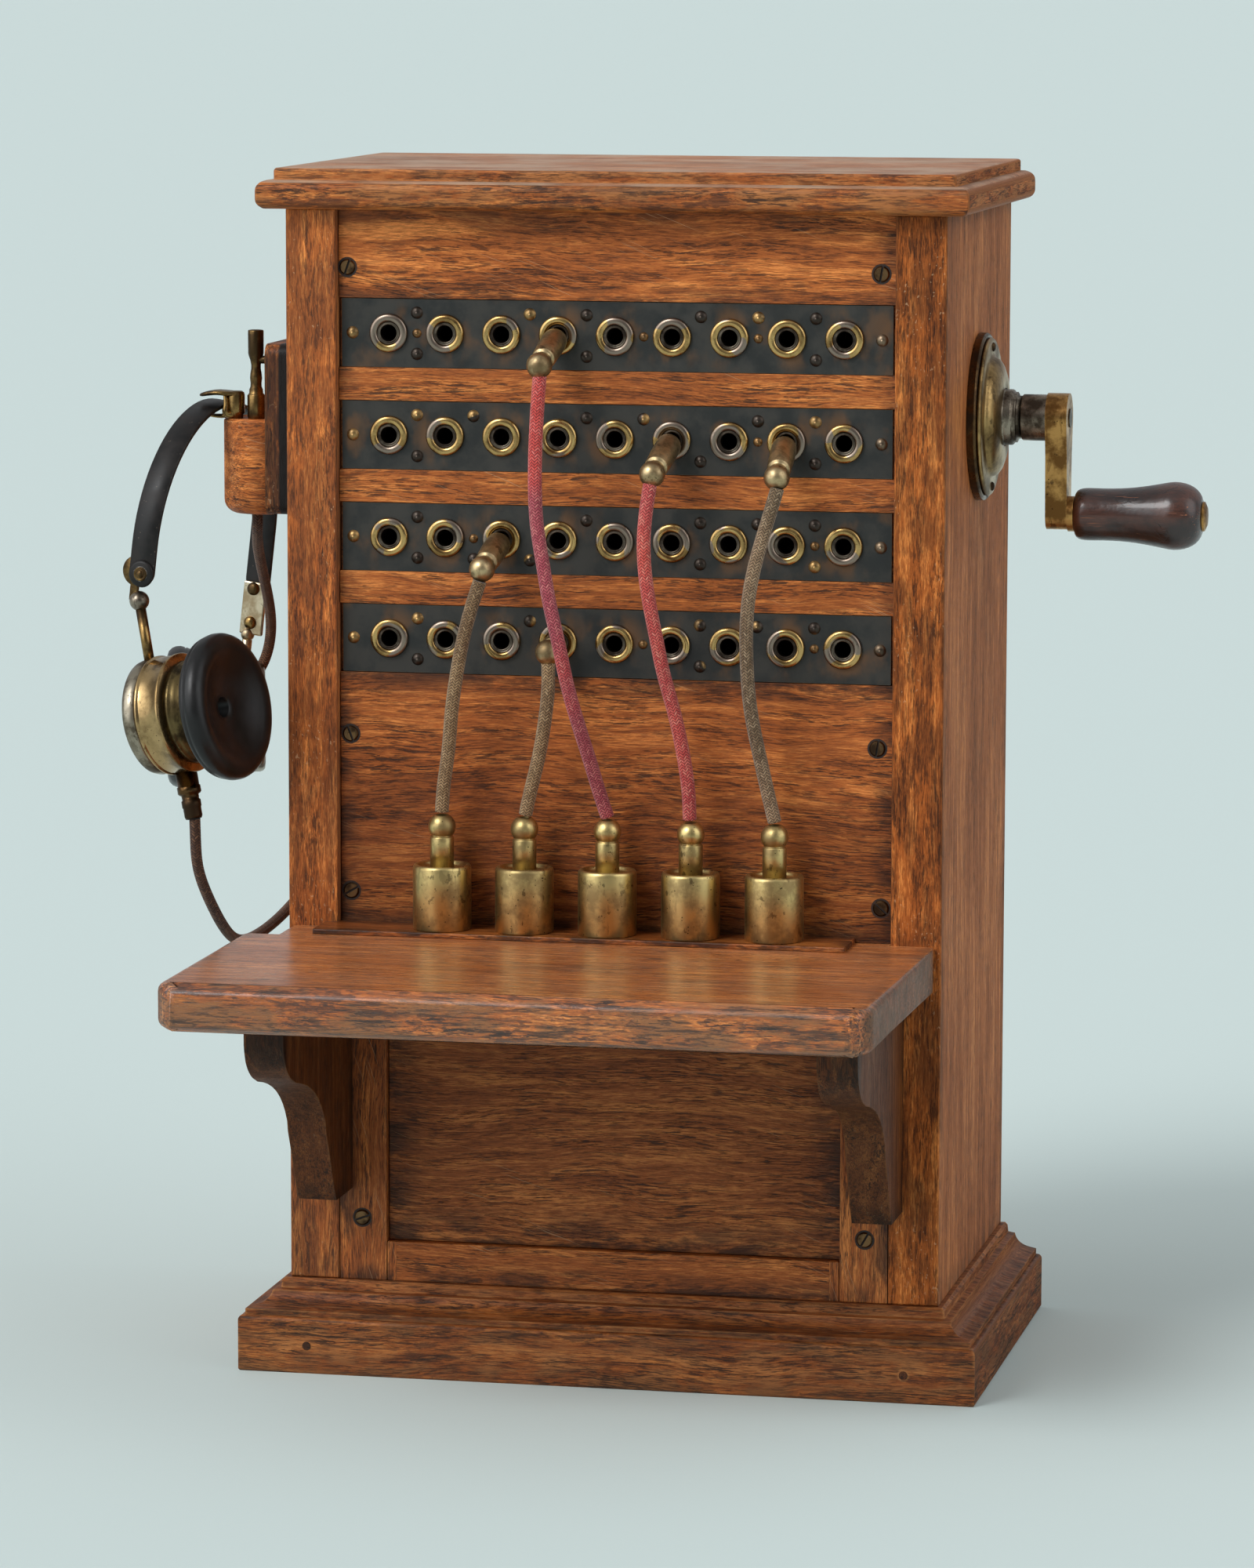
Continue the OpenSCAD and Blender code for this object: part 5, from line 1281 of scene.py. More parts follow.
def plug_outline(reach):
    """Sleeve, neck and ball of a plug that reaches that many millimetres from its root."""
    neck, ball = reach - 8.5, reach - 3.2
    sleeve = [(0, -0.6), (SHANK_R, -0.6), (3.9, 0.0), (4.7, 0.6), (5.1, 1.5), (SLEEVE_R, 3.0)]
    sleeve += [(SLEEVE_R, neck * 0.5), (SLEEVE_R - 0.35, neck - 1.2), (SLEEVE_R - 0.7, neck - 0.3),
               (SLEEVE_R - 1.5, neck)]
    join = math.degrees(math.asin(3.9 / BALL_R))
    return sleeve + [(3.8, neck + 0.6)] + round_part(0, ball, BALL_R, -90 + join, 90, 20)


print("a plug's outline has", len(plug_outline(28.5)), "points")

# %% The five plugs
# Row, column, droop and yaw in degrees, and how far the plug reaches out, in millimetres.
PLUGS = {1: (3, 3, 21, -5, 28.5), 2: (4, 4, 7, -3, 16.1), 3: (1, 4, 23, -5, 28.5),
         4: (2, 6, 24, -6, 30.0), 5: (2, 8, 27, 2, 28.5)}
MOUTH_OUT, ROOT_OUT = 0.5 * MM, 3.2 * MM
TURNED_PLUGS = {}
for k, (row, column, droop, yaw, reach) in PLUGS.items():
    plug = bmesh.new()
    mouth = jack_place(row, column, MOUTH_OUT)
    mouth.translation.z -= SHANK_DROP
    spin(plug, SHANK, mouth, ROD_SIDES)
    hang = (Matrix.Rotation(math.radians(yaw), 4, "Z")
            @ Matrix.Rotation(math.radians(droop), 4, "X")
            @ Matrix.Rotation(QUARTER_TURN, 4, "X"))
    root = mouth.translation + Vector((0, -ROOT_OUT, 0))
    spin(plug, plug_outline(reach), Matrix.Translation(root) @ hang)
    TURNED_PLUGS[k] = settle(finish_mesh(f"turned_plug_{k}", plug, (PLUG_BRASS,)),
                             f"patch_{k}", f"plug_{k}")

# %% [markdown]
# ## Cord seats
#
# Each patch cord comes out of a satin brass cup, through a stem with a ball on top. Cup and
# stem could be one outline, but the cup's mouth is open round the stem, and two outlines, one
# inside the other, leave that dark ring by themselves.

# %% Cups and stems
SEATS, CUP_SIDES = 5, 64
SEAT_PITCH, SEAT_Y, SEAT_Z = 35.5 * MM, -88.55 * MM, 192.2 * MM
CUP = [(0, 0), (11.8, 0), (12.3, 0.5), (12.3, 25.9), (12.1, 26.8), (11.6, 27.4), (11.0, 27.6),
       (10.3, 27.4), (9.9, 26.8), (9.6, 26.0), (9.0, 25.7), (5.0, 25.6)]
STEM = [(0, 24.0), (5.05, 24.0), (5.05, 38.7), (4.9, 39.1), (4.5, 39.3)]
STEM += round_part(0, 43.36, 5.8, -42, 62, 16) + [(2.4, 48.3), (2.4, 46.0), (0, 46.0)]
seats = [Matrix.Translation(((i - (SEATS - 1) / 2) * SEAT_PITCH, SEAT_Y, SEAT_Z))
         for i in range(SEATS)]
add_turned("turned_cups", [CUP], seats, [CUP_BRASS], "cabinet", "plug_seats", sides=CUP_SIDES)
add_turned("turned_stems", [STEM], seats, [CUP_BRASS], "cabinet", "seat_stems")

# %% [markdown]
# ## Escutcheon
#
# The plate round the crank's shaft was spun from sheet brass over a form: a flat flange, then a
# dome, with a steel boss riveted in the middle. A flattened half ball could be its dome, but an
# outline gives flange, dome and boss their own steps. The same lathe helper makes it, laid on
# its side, and two small domed rivets are spun beside it.

# %% Lathe laid along the shaft
CRANK_Y, CRANK_Z = 9.25 * MM, 404.2 * MM


def along_x(x, y, z):
    """A matrix that lays the lathe's axis along +X from that point."""
    return Matrix.Translation((x, y, z)) @ Matrix.Rotation(QUARTER_TURN, 4, "Y")


print("shaft at", [round(v / MM, 2) for v in along_x(0, CRANK_Y, CRANK_Z).translation], "mm")

# %% Plate, boss and rivets
PLATE = [(4.05, 144.0), (33.0, 144.0), (33.5, 144.4), (33.5, 145.0), (33.0, 145.6), (32.2, 145.9),
         (27.0, 145.9), (26.0, 146.1), (25.3, 146.5), (25.1, 147.2), (24.4, 148.4), (22.6, 149.7),
         (19.6, 150.8), (16.0, 151.4), (12.6, 151.6), (12.3, 151.4)]
BOSS = [(12.3, 151.2), (11.9, 151.4), (11.8, 152.2), (11.8, 154.6), (11.5, 155.2), (10.9, 155.4),
        (10.7, 156.0), (10.7, 156.7), (10.2, 157.0), (9.2, 157.2), (9.1, 158.5), (4.05, 158.5)]
add_turned("turned_escutcheon", [PLATE, BOSS], [along_x(0, CRANK_Y, CRANK_Z)],
           [AGED_BRASS, DARK_STEEL], "cabinet", "escutcheon", sides=FINE_SIDES)
PLATE_RIVET = [(2.0, 145.6), (1.9, 146.3), (1.3, 146.9), (0.6, 147.1), (0, 147.15)]
RIVETS_FROM_SHAFT = 29.6 * MM
plate_rivets = [along_x(0, CRANK_Y, CRANK_Z + side * RIVETS_FROM_SHAFT) for side in (-1, 1)]
add_turned("escutcheon_rivets", [PLATE_RIVET], plate_rivets, [DARK_BRASS], "cabinet",
           "escutcheon", sides=ROD_SIDES)

# %% [markdown]
# ## Receivers
#
# A receiver is a brass case with a nickelled back, and a hard rubber cap with a deep dish that
# rests on the ear. The CAD solids have the right size but few mouldings. All of it is round, so
# four outlines from back to dish make it, each with its own material, and one matrix aims them
# the way the receiver hangs.

# %% Aiming a receiver
def aimed(at, swing, lift):
    """A matrix that lays the lathe's axis along a receiver: swing round Z, then lift."""
    turned = Matrix.Rotation(math.radians(swing), 4, "Z")
    turned = turned @ Matrix.Rotation(math.radians(-lift), 4, "Y")
    return Matrix.Translation(Vector(at) * MM) @ turned @ Matrix.Rotation(QUARTER_TURN, 4, "Y")


# The middle of each receiver's back in millimetres, then swing and lift in degrees.
RECEIVERS = ((1, (-192, -107.75, 280.5), -14.8, 10.5), (2, (-174.5, 11.25, 267), 195, 0))
print(len(RECEIVERS), "receivers")

# %% Case and cap
CASE_BACK = [(0, 0), (20.5, 0), (22.8, 0.3), (23.9, 1.2), (24.3, 2.6), (24.3, 6.4), (23.9, 6.7)]
CASE_DRUM = [(23.9, 6.7), (23.5, 7.0), (24.6, 7.3), (25.2, 7.9), (25.2, 8.6), (24.6, 9.1),
             (24.5, 9.5), (24.5, 17.0), (25.0, 17.6), (25.1, 18.6), (24.7, 19.3), (22.2, 19.8),
             (21.9, 20.0), (0, 20.0)]
CAP_NECK = [(0, 20.1), (21.8, 20.1), (21.4, 22.0), (20.9, 22.4), (20.9, 23.4), (20.2, 24.4),
            (19.6, 26.0), (18.6, 28.0), (18.2, 30.0)]
CAP = [(18.2, 29.0), (19.4, 30.0), (23.0, 30.6), (26.2, 31.0), (28.4, 31.8), (29.7, 32.9),
       (30.2, 34.2), (30.0, 34.8), (30.5, 35.3), (30.9, 36.8), (30.8, 38.8), (30.1, 40.6),
       (28.7, 42.0), (26.7, 42.7), (24.5, 42.6), (22.4, 41.8), (19.0, 40.1), (15.2, 38.4),
       (11.2, 37.1), (7.4, 36.4), (4.6, 36.1), (4.2, 35.7), (4.1, 24.0), (0, 24.0)]
for number, at, swing, lift in RECEIVERS:
    place = aimed(at, swing, lift)
    body = f"receiver_{number}"
    add_turned(f"turned_case_{number}", [CASE_BACK, CASE_DRUM], [place],
               [CASE_NICKEL, CASE_BRASS], body, f"receiver_case_{number}", sides=FINE_SIDES)
    add_turned(f"turned_cap_{number}", [CAP_NECK, CAP], [place], [OLIVE_BRASS, HARD_RUBBER],
               body, f"ear_cap_{number}", "hard_rubber", sides=FINE_SIDES)

# %% [markdown]
# ## Cord ferrule
#
# The lead enters the front receiver through a stepped brass ferrule. A few stacked cylinders
# would come close, but one outline joins the steps. The ferrule leans with the band's rod, so
# the lathe's axis is turned to point along a direction instead of along X.

# %% Ferrule
ROD_WAY = Vector((0.21047, -0.15948, -0.96450))
FERRULE = [(0, -8), (4.6, -8), (4.6, -1.4), (5.0, -1.1), (5.0, 1.5), (4.5, 2.1), (3.7, 2.5),
           (3.6, 4.4), (4.1, 4.8), (4.1, 7.5), (3.8, 7.9), (3.8, 11.6), (3.3, 12.6), (2.5, 12.6),
           (2.5, 10), (0, 10)]


def pointing(at, way):
    """A matrix that lays the lathe's axis along a direction from a point in millimetres."""
    return (Matrix.Translation(Vector(at) * MM)
            @ Vector(way).to_track_quat("Z", "Y").to_matrix().to_4x4())


FERRULE_AT = (-175, -109.75, 251)
add_turned("cord_ferrule", [FERRULE], [pointing(FERRULE_AT, ROD_WAY)], [DARK_BRASS],
           "receiver_1", "receiver_case_1")

# %% [markdown]
# ## Headband
#
# The band is a flat steel spring with rounded ends, black with bright worn edges. A curve with
# a bevel could sweep it, but its ends would stay square. Here a small section is placed at
# steps along the arch, in the band's own leaning frame, and gets narrower round each end.

# %% The band's frame
CROWN, BAND_TURN, BAND_LEAN = (-177.5, -49.75, 409.8), -10.5, 6.8
BAND_HALF, BAND_THICK, BAND_WIDE, LEG_1, LEG_2 = 58.5, 1.8, 11.5, 16.0, 30.0
crown = (Matrix.Translation(Vector(CROWN) * MM) @ Matrix.Rotation(math.radians(BAND_TURN), 4, "Z")
         @ Matrix.Rotation(math.radians(BAND_LEAN), 4, "Y"))
print("band is", BAND_HALF * 2, "mm across and leans", BAND_LEAN, "degrees")

# %% The band's middle line
ARCH_STEPS = 40
# How far from the end each section stands, in millimetres: close where the end is round.
END_STEPS = (0, 0.15, 0.5, 1.0, 1.7, 2.6, 3.6, 4.8, 5.75)


def band_line():
    """Points and outward directions along the band's middle, from the front end to the rear."""
    r = BAND_HALF - BAND_THICK / 2
    line = [(Vector((0, -r, -BAND_HALF - LEG_1 + d)), Vector((0, -1, 0))) for d in END_STEPS]
    for k in range(ARCH_STEPS + 1):
        a = math.pi * k / ARCH_STEPS
        out = Vector((0, -math.cos(a), math.sin(a)))
        line.append((Vector((0, 0, -BAND_HALF)) + out * r, out))
    return line + [(Vector((0, r, -BAND_HALF - LEG_2 + d)), Vector((0, 1, 0)))
                   for d in reversed(END_STEPS)]


print("the band's line has", len(band_line()), "points")

# %% Sweeping the band
BAND_SOFT, THINNEST = 0.35, 0.15


def band_section(near_end):
    """The band's eight-cornered section, that far from its nearer end, in millimetres."""
    wide = BAND_WIDE / 2
    near_end = min(near_end, wide)
    half = math.sqrt(max(THINNEST, wide ** 2 - (wide - near_end) ** 2))
    t, soft = BAND_THICK / 2, min(BAND_SOFT, half / 2)
    return [(-half, -t + soft), (-half + soft, -t), (half - soft, -t), (half, -t + soft),
            (half, t - soft), (half - soft, t), (-half + soft, t), (-half, t - soft)]


def add_band():
    """Joins the sections along the band's line and closes both ends."""
    mesh, rings, line = bmesh.new(), [], band_line()
    run = [0.0]
    for (a, _), (b, _) in zip(line, line[1:]):
        run.append(run[-1] + (b - a).length)
    for (at, out), far in zip(line, run):
        rings.append([mesh.verts.new(crown @ ((at + Vector((x, 0, 0)) + out * y) * MM))
                      for x, y in band_section(min(far, run[-1] - far))])
    for low, high in zip(rings, rings[1:]):
        for k in range(len(low)):
            after = (k + 1) % len(low)
            mesh.faces.new((low[k], low[after], high[after], high[k])).smooth = True
    mesh.faces.new(rings[0])
    mesh.faces.new(rings[-1])
    for edge in mesh.edges:
        edge.smooth = is_smooth(edge, SHARP)
    settle(finish_mesh("spring_band", mesh, [BAND_BLACK]), "headset", "headband", "band_steel")
    print("band length:", round(run[-1], 1), "mm")


add_band()

# %% [markdown]
# ## Band fittings
#
# In front a black boss with one rivet holds a brass lug whose strap carries the ball and rod of
# receiver 1. At the rear a nickelled plate with two rivets carries receiver 2. Each could be an
# object of its own, but they move as one, so spun, flat and rod shapes all go into one mesh
# and their slots keep the metals apart.

# %% Where the fittings sit
DOME = [(2.9, 0), (2.8, 0.6), (2.3, 1.2), (1.5, 1.6), (0.7, 1.8), (0, 1.85)]
FRONT_AT = Vector((0.4, -BAND_HALF, -BAND_HALF - LEG_1 + 5.2))
ROD_1 = ((-197.43, -104.64, 329.37), (-190.74, -109.71, 298.71))
ROD_2 = ((-181.33, 7.61, 303.23), (-183.84, 10.07, 285.62))


def outward(at):
    """A matrix in the band's frame that lays the lathe's axis towards the front."""
    return crown @ Matrix.Translation(Vector(at) * MM) @ Matrix.Rotation(QUARTER_TURN, 4, "X")


print("rod lengths:", [round((Vector(b) - Vector(a)).length, 1) for a, b in (ROD_1, ROD_2)], "mm")

# %% Flat plates and rods
def slab(mesh, place, low, high, slot=0, soft=0.5):
    """A box between two corners in millimetres, with its edges rounded."""
    made = bmesh.ops.create_cube(mesh, size=1.0)["verts"]
    middle, size = (Vector(low) + Vector(high)) / 2, Vector(high) - Vector(low)
    for vert in made:
        vert.co = place @ ((middle + Vector(c * s for c, s in zip(vert.co, size))) * MM)
    faces = list(dict.fromkeys(f for v in made for f in v.link_faces))
    for face in faces:
        face.material_index = slot
    edges = list(dict.fromkeys(e for f in faces for e in f.edges))
    bmesh.ops.bevel(mesh, geom=edges, offset=soft * MM, segments=2, profile=0.5,
                    affect="EDGES", material=-1)


def rod(mesh, a, b, radius, slot):
    """A round rod between two points in millimetres."""
    way = (Vector(b) - Vector(a)).normalized()
    reach = (Vector(b) - Vector(a)).length
    spin(mesh, [(0, 0), (radius, 0), (radius, reach), (0, reach)], pointing(a, way), ROD_SIDES,
         slot)


print("flat helpers:", slab.__name__, rod.__name__)

# %% Front fittings
FITTING_METALS = [BAND_BLACK, HOOK_BRASS, DARK_STEEL, PLATE_NICKEL]
BLACK_SLOT, BRASS_SLOT, STEEL_SLOT, NICKEL_SLOT = range(4)
ROD_R, FRONT_BALL_R, BALL_SIDES = 2.2, 4.2, 40
FRONT_BOSS = [(0, 0.1), (5.6, 0.1), (5.75, 0.5), (5.5, 1.3), (4.6, 1.6), (0, 1.6)]
FRONT_RIVET = [(3.0, 1.5), (2.9, 2.1), (2.2, 2.2), (1.9, 1.9), (1.7, 2.4), (1.0, 2.9), (0, 3.0)]
FRONT_LUG = [(0, -4.0), (6.2, -4.0), (6.5, -3.6), (6.5, -0.9), (6.2, -0.5), (0, -0.5)]
LUG_OFF = Vector((-3.0, 0, 0.6))
LUG_STRAP = (-5.0, -BAND_HALF + 0.6, -81.5), (-1.2, -BAND_HALF + 2.4, -70)
fittings = bmesh.new()
spin(fittings, FRONT_BOSS, outward(FRONT_AT), SIDES, BLACK_SLOT)
spin(fittings, FRONT_RIVET, outward(FRONT_AT), SMALL_SIDES, BRASS_SLOT)
spin(fittings, FRONT_LUG, outward(FRONT_AT + LUG_OFF), SIDES, BRASS_SLOT)
slab(fittings, crown, *LUG_STRAP, BRASS_SLOT)
spin(fittings, round_part(0, 0, FRONT_BALL_R, -90, 90, 20), pointing(ROD_1[0], (0, 0, 1)),
     BALL_SIDES, STEEL_SLOT)
rod(fittings, *ROD_1, ROD_R, BRASS_SLOT)
print("front fittings:", len(fittings.faces), "faces")

# %% Rear fittings
REAR_PLATE, PLATE_SOFT, REAR_BALL_R = 2.0, 0.7, 3.0
PLATE_FOOT, PLATE_HEAD, REAR_RIVETS = -107.3, -84, (-87.0, -102.0)
inner, half_plate = BAND_HALF - BAND_THICK - REAR_PLATE, BAND_WIDE / 2 - 0.3
slab(fittings, crown, (-half_plate, inner, PLATE_FOOT),
     (half_plate, inner + REAR_PLATE, PLATE_HEAD), NICKEL_SLOT, PLATE_SOFT)
for z in REAR_RIVETS:
    spin(fittings, DOME, outward((-0.5, inner, z)), SMALL_SIDES, BRASS_SLOT)
spin(fittings, round_part(0, 0, REAR_BALL_R, -90, 90, 16), pointing(ROD_2[0], (0, 0, 1)),
     SMALL_SIDES, NICKEL_SLOT)
rod(fittings, *ROD_2, ROD_R, NICKEL_SLOT)
settle(finish_mesh("riveted_fittings", fittings, FITTING_METALS), "headset", "band_fittings")

# %% [markdown]
# ## Screws
#
# Old slotted screws are sunk level with the oak, and each slot stopped at its own angle. A
# boolean could cut the slots, but two half heads with a gap between them need no cutting and
# leave clean edges. A dark disc under both paints the shadow round the head and in the slot.

# %% Screw heads
# Where each screw's middle is in millimetres, and its slot's angle in degrees.
SCREWS = ((-114.4, -75.25, 468.6, 70), (112.0, -75.25, 468.6, 80), (-113.7, -75.25, 205, 30),
          (-113.7, -75.25, 272, 110), (113.7, -75.25, 205, 140), (111.7, -75.25, 272, 80),
          (-108.5, -79.25, 64.8, 20), (108.5, -79.25, 64.8, 60))
# The head's radius, the slot's width and the radius of the painted shadow under it, in mm.
HEAD_R, SLOT_WIDE, GRIME_R, HEAD_STEPS = 3.4, 0.9, 4.2, 16
RIM_UP, TOP_UP, TOP_SHARE, HEAD_DEEP = 0.15, 0.75, 0.8, 0.6


def slotted_head(mesh, place, radius, slot, turn):
    """A low domed screw head made of two halves that leave a slot between them."""
    for side in (0, 180):
        spin_half = place @ Matrix.Rotation(math.radians(turn + side), 4, "Z")
        rim, top = [], []
        start = math.asin(slot / 2 / radius)
        for k in range(HEAD_STEPS + 1):
            a = start + (math.pi - 2 * start) * k / HEAD_STEPS
            x, y = radius * math.cos(a), radius * math.sin(a)
            rim.append(Vector((x, y, RIM_UP)))
            top.append(Vector((TOP_SHARE * x, max(slot / 2, TOP_SHARE * y), TOP_UP)))
        rim = [mesh.verts.new(spin_half @ (v * MM)) for v in rim]
        top = [mesh.verts.new(spin_half @ (v * MM)) for v in top]
        down = place.to_3x3() @ Vector((0, 0, HEAD_DEEP * MM))
        foot = [mesh.verts.new(v.co - down) for v in rim]
        for lower, upper in ((foot, rim), (rim, top)):
            for k in range(HEAD_STEPS):
                mesh.faces.new((lower[k], lower[k + 1], upper[k + 1], upper[k])).smooth = True
            mesh.faces.new((lower[-1], lower[0], upper[0], upper[-1]))
        mesh.faces.new(top)
        mesh.faces.new(list(reversed(foot)))


print(len(SCREWS), "screws with slots", SLOT_WIDE, "mm wide")

# %% The eight screws
screws = bmesh.new()
for x, y, z, turn in SCREWS:
    facing = Matrix.Translation(Vector((x, y, z)) * MM) @ Matrix.Rotation(QUARTER_TURN, 4, "X")
    slotted_head(screws, facing, HEAD_R, SLOT_WIDE, turn)
    # A dark disc just above the oak paints the shadow round the head and in its slot.
    spin(screws, [(GRIME_R, 0.05), (0, 0.05)], facing, SMALL_SIDES, slot=1)
settle(finish_mesh("slotted_screws", screws, [SCREW_METAL, GRIME]), "cabinet", "wood_screws")

# %% [markdown]
# ## Worn boards
#
# Elbows and hands have rounded the shelf's front arris, the base's and the cornice's edges,
# and the crank's arm. A bevel modifier rounds every edge alike; here a copy of the CAD mesh
# gets its bevel only on the convex edges that a rule picks, then takes the CAD board's place.

# %% Wearing an edge away
JOIN_DISTANCE, FLAT_ANGLE, WORN_ANGLE, WORN_SHARP = 0.01 * MM, 1, 50, 35
BEVEL_STEPS = 4


def soften(node, width, worn_away, slot="oak", body="cabinet", clamped=True):
    """A copy of a board whose sharp outer edges are rounded where worn_away says so. A clamped
    bevel can't cross itself, but one finely cut corner keeps it narrow all along."""
    mesh = bmesh.new()
    mesh.from_mesh(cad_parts[node].data)
    bmesh.ops.remove_doubles(mesh, verts=mesh.verts, dist=JOIN_DISTANCE)
    bmesh.ops.dissolve_limit(mesh, angle_limit=math.radians(FLAT_ANGLE), verts=mesh.verts,
                             edges=mesh.edges)
    picked = [e for e in mesh.edges if len(e.link_faces) == 2 and e.is_convex
              and e.calc_face_angle(0) > math.radians(WORN_ANGLE)
              and worn_away((e.verts[0].co + e.verts[1].co) / 2)]
    bmesh.ops.bevel(mesh, geom=picked, offset=width * MM, segments=BEVEL_STEPS, profile=0.5,
                    affect="EDGES", clamp_overlap=clamped)
    for face in mesh.faces:
        face.smooth, face.material_index = True, 0
    for edge in mesh.edges:
        edge.smooth = is_smooth(edge, WORN_SHARP)
    made = finish_mesh("worn_" + node, mesh, [MATERIALS[node]])
    made.modifiers.new("even_normals", "WEIGHTED_NORMAL").keep_sharp = True
    settle(made, body, node, slot)
    print(node, "softened:", len(picked), "edges")

# %% Worn pieces
# Each rule says where an edge's middle has to be, in metres, for it to be worn: the shelf wears
# in front of the cabinet, and the base everywhere but underneath. The shelf has finely cut
# corners.
SHELF_BACK, UNDERSIDE = -83 * MM, 1 * MM
soften("shelf", 3.6, lambda at: at.y < SHELF_BACK, clamped=False)
soften("plinth", 1.6, lambda at: at.z > UNDERSIDE)
soften("cornice", 1.3, lambda at: True)
soften("crank_arm", 0.9, lambda at: True, "aged_brass", "crank")

# %% [markdown]
# ## Post and switch hook
#
# A turned post stands on the block. Beside it the plunger's barrel carries a thin lip over the
# headband and a bent claw under it. The post and the barrel are lathe work. Lip and claw were
# forged flat and bent. A bevelled curve could draw them, but its section would stay the same,
# so a rounded flat section runs along their bends and gets wider and thinner on its way.

# %% Outlines of the post and the barrel
POST_AT, LEVER_AT, BLOCK_TOP = (-159.0, -57.75), (-167.8, -57.75), 403.0
POST = [(0, -4), (3.3, -4), (3.5, 0.2), (3.75, 0.8), (3.75, 9.8), (3.4, 10.4), (3.0, 10.8),
        (2.9, 12.4), (2.4, 13.6), (2.35, 15.2), (2.6, 17.2), (2.4, 19.2), (2.05, 21.2),
        (2.05, 22.8), (2.45, 24.8), (3.0, 26.4), (3.3, 27.6), (3.35, 37.0), (3.15, 37.5),
        (2.6, 37.6), (2.3, 37.3), (2.2, 32.0), (0, 32.0)]
BARREL = [(0, -12), (3.0, -12), (3.0, 1.6), (3.6, 2.2), (3.7, 3.0), (3.7, 10.0), (3.4, 11.0),
          (2.6, 11.6), (0, 11.7)]
print("post is", POST[-3][1], "mm high")

# %% Bends of the lip, the claw and its jaw
# Each station is x and z in millimetres, then half the strap's width and half its thickness.
LIP = [(-165.2, 413.2, 2.4, 0.7), (-168, 413.4, 3.8, 1.1), (-172, 413.7, 4.8, 1.15),
       (-176, 413.9, 5.0, 1.1), (-180, 413.4, 4.4, 1.0), (-182.2, 412.9, 3.2, 0.8),
       (-183.3, 412.6, 1.8, 0.5)]
CLAW = [(-172.0, 413.2, 3.0, 1.0), (-171.6, 410.6, 3.6, 1.2), (-171.4, 408.2, 4.2, 1.4),
        (-171.6, 406.0, 4.6, 1.7), (-170.4, 404.6, 4.2, 1.6), (-168.0, 404.4, 3.4, 1.3)]
JAW = [(-171.5, 404.2, 3.4, 1.0), (-174.5, 403.9, 3.2, 0.9), (-178, 404.1, 2.6, 0.7),
       (-181, 404.6, 1.5, 0.5)]
print("straps have", [len(stations) for stations in (LIP, CLAW, JAW)], "stations")

# %% Bent straps
STRAP_SIDES, STRAP_SQUARENESS = 20, 0.6


def bulged(value, reach):
    """A round section's cosine or sine pushed outwards, so that the section gets squarer."""
    return math.copysign(abs(value) ** STRAP_SQUARENESS, value) * reach


def strap(mesh, stations, y):
    """A flat bent strap through (x, z, half width, half thickness) stations in millimetres."""
    path = smooth_path([Vector(station) for station in stations])
    spots = [Vector((x, y, z)) for x, z, _, _ in path]
    rings = []
    for i, (_, _, wide, thick) in enumerate(path):
        way = (spots[min(i + 1, len(spots) - 1)] - spots[max(i - 1, 0)]).normalized()
        up, ring = way.cross(Vector((0, 1, 0))), []
        for k in range(STRAP_SIDES):
            a = math.tau * k / STRAP_SIDES
            c, d = bulged(math.cos(a), wide), bulged(math.sin(a), thick)
            ring.append(mesh.verts.new((spots[i] + Vector((0, c, 0)) + up * d) * MM))
        rings.append(ring)
    for low, high in zip(rings, rings[1:]):
        for k in range(STRAP_SIDES):
            after = (k + 1) % STRAP_SIDES
            mesh.faces.new((low[k], low[after], high[after], high[k])).smooth = True
    for ring in (rings[0], rings[-1]):
        mesh.faces.new(ring)


print("a strap's section has", STRAP_SIDES, "corners")

# %% Post and hook
# A level stay runs from the post to the board behind it. Millimetres.
STAY_Z, STAY_END_X, STAY_R = 428.0, -151.0, 1.7
post = bmesh.new()
spin(post, POST, Matrix.Translation(Vector((*POST_AT, BLOCK_TOP)) * MM))
rod(post, (*POST_AT, STAY_Z), (STAY_END_X, POST_AT[1], STAY_Z), STAY_R, 0)
settle(finish_mesh("turned_post", post, [HOOK_BRASS]), "cabinet", "hook_post")
hook = bmesh.new()
spin(hook, BARREL, Matrix.Translation(Vector((*LEVER_AT, BLOCK_TOP)) * MM))
for stations in (LIP, CLAW, JAW):
    strap(hook, stations, LEVER_AT[1])
settle(finish_mesh("switch_hook", hook, [HOOK_BRASS]), "hook", "headset_hook")

# %% [markdown]
# ## Cords
#
# Each cord is a braided tube along the route that its CAD solid follows. A Blender curve with a
# round bevel makes a tube too, but the braid needs to know how far along it is, so a mesh with
# a UV map is built instead. Points are millimetres, with y counted from the cabinet's front.

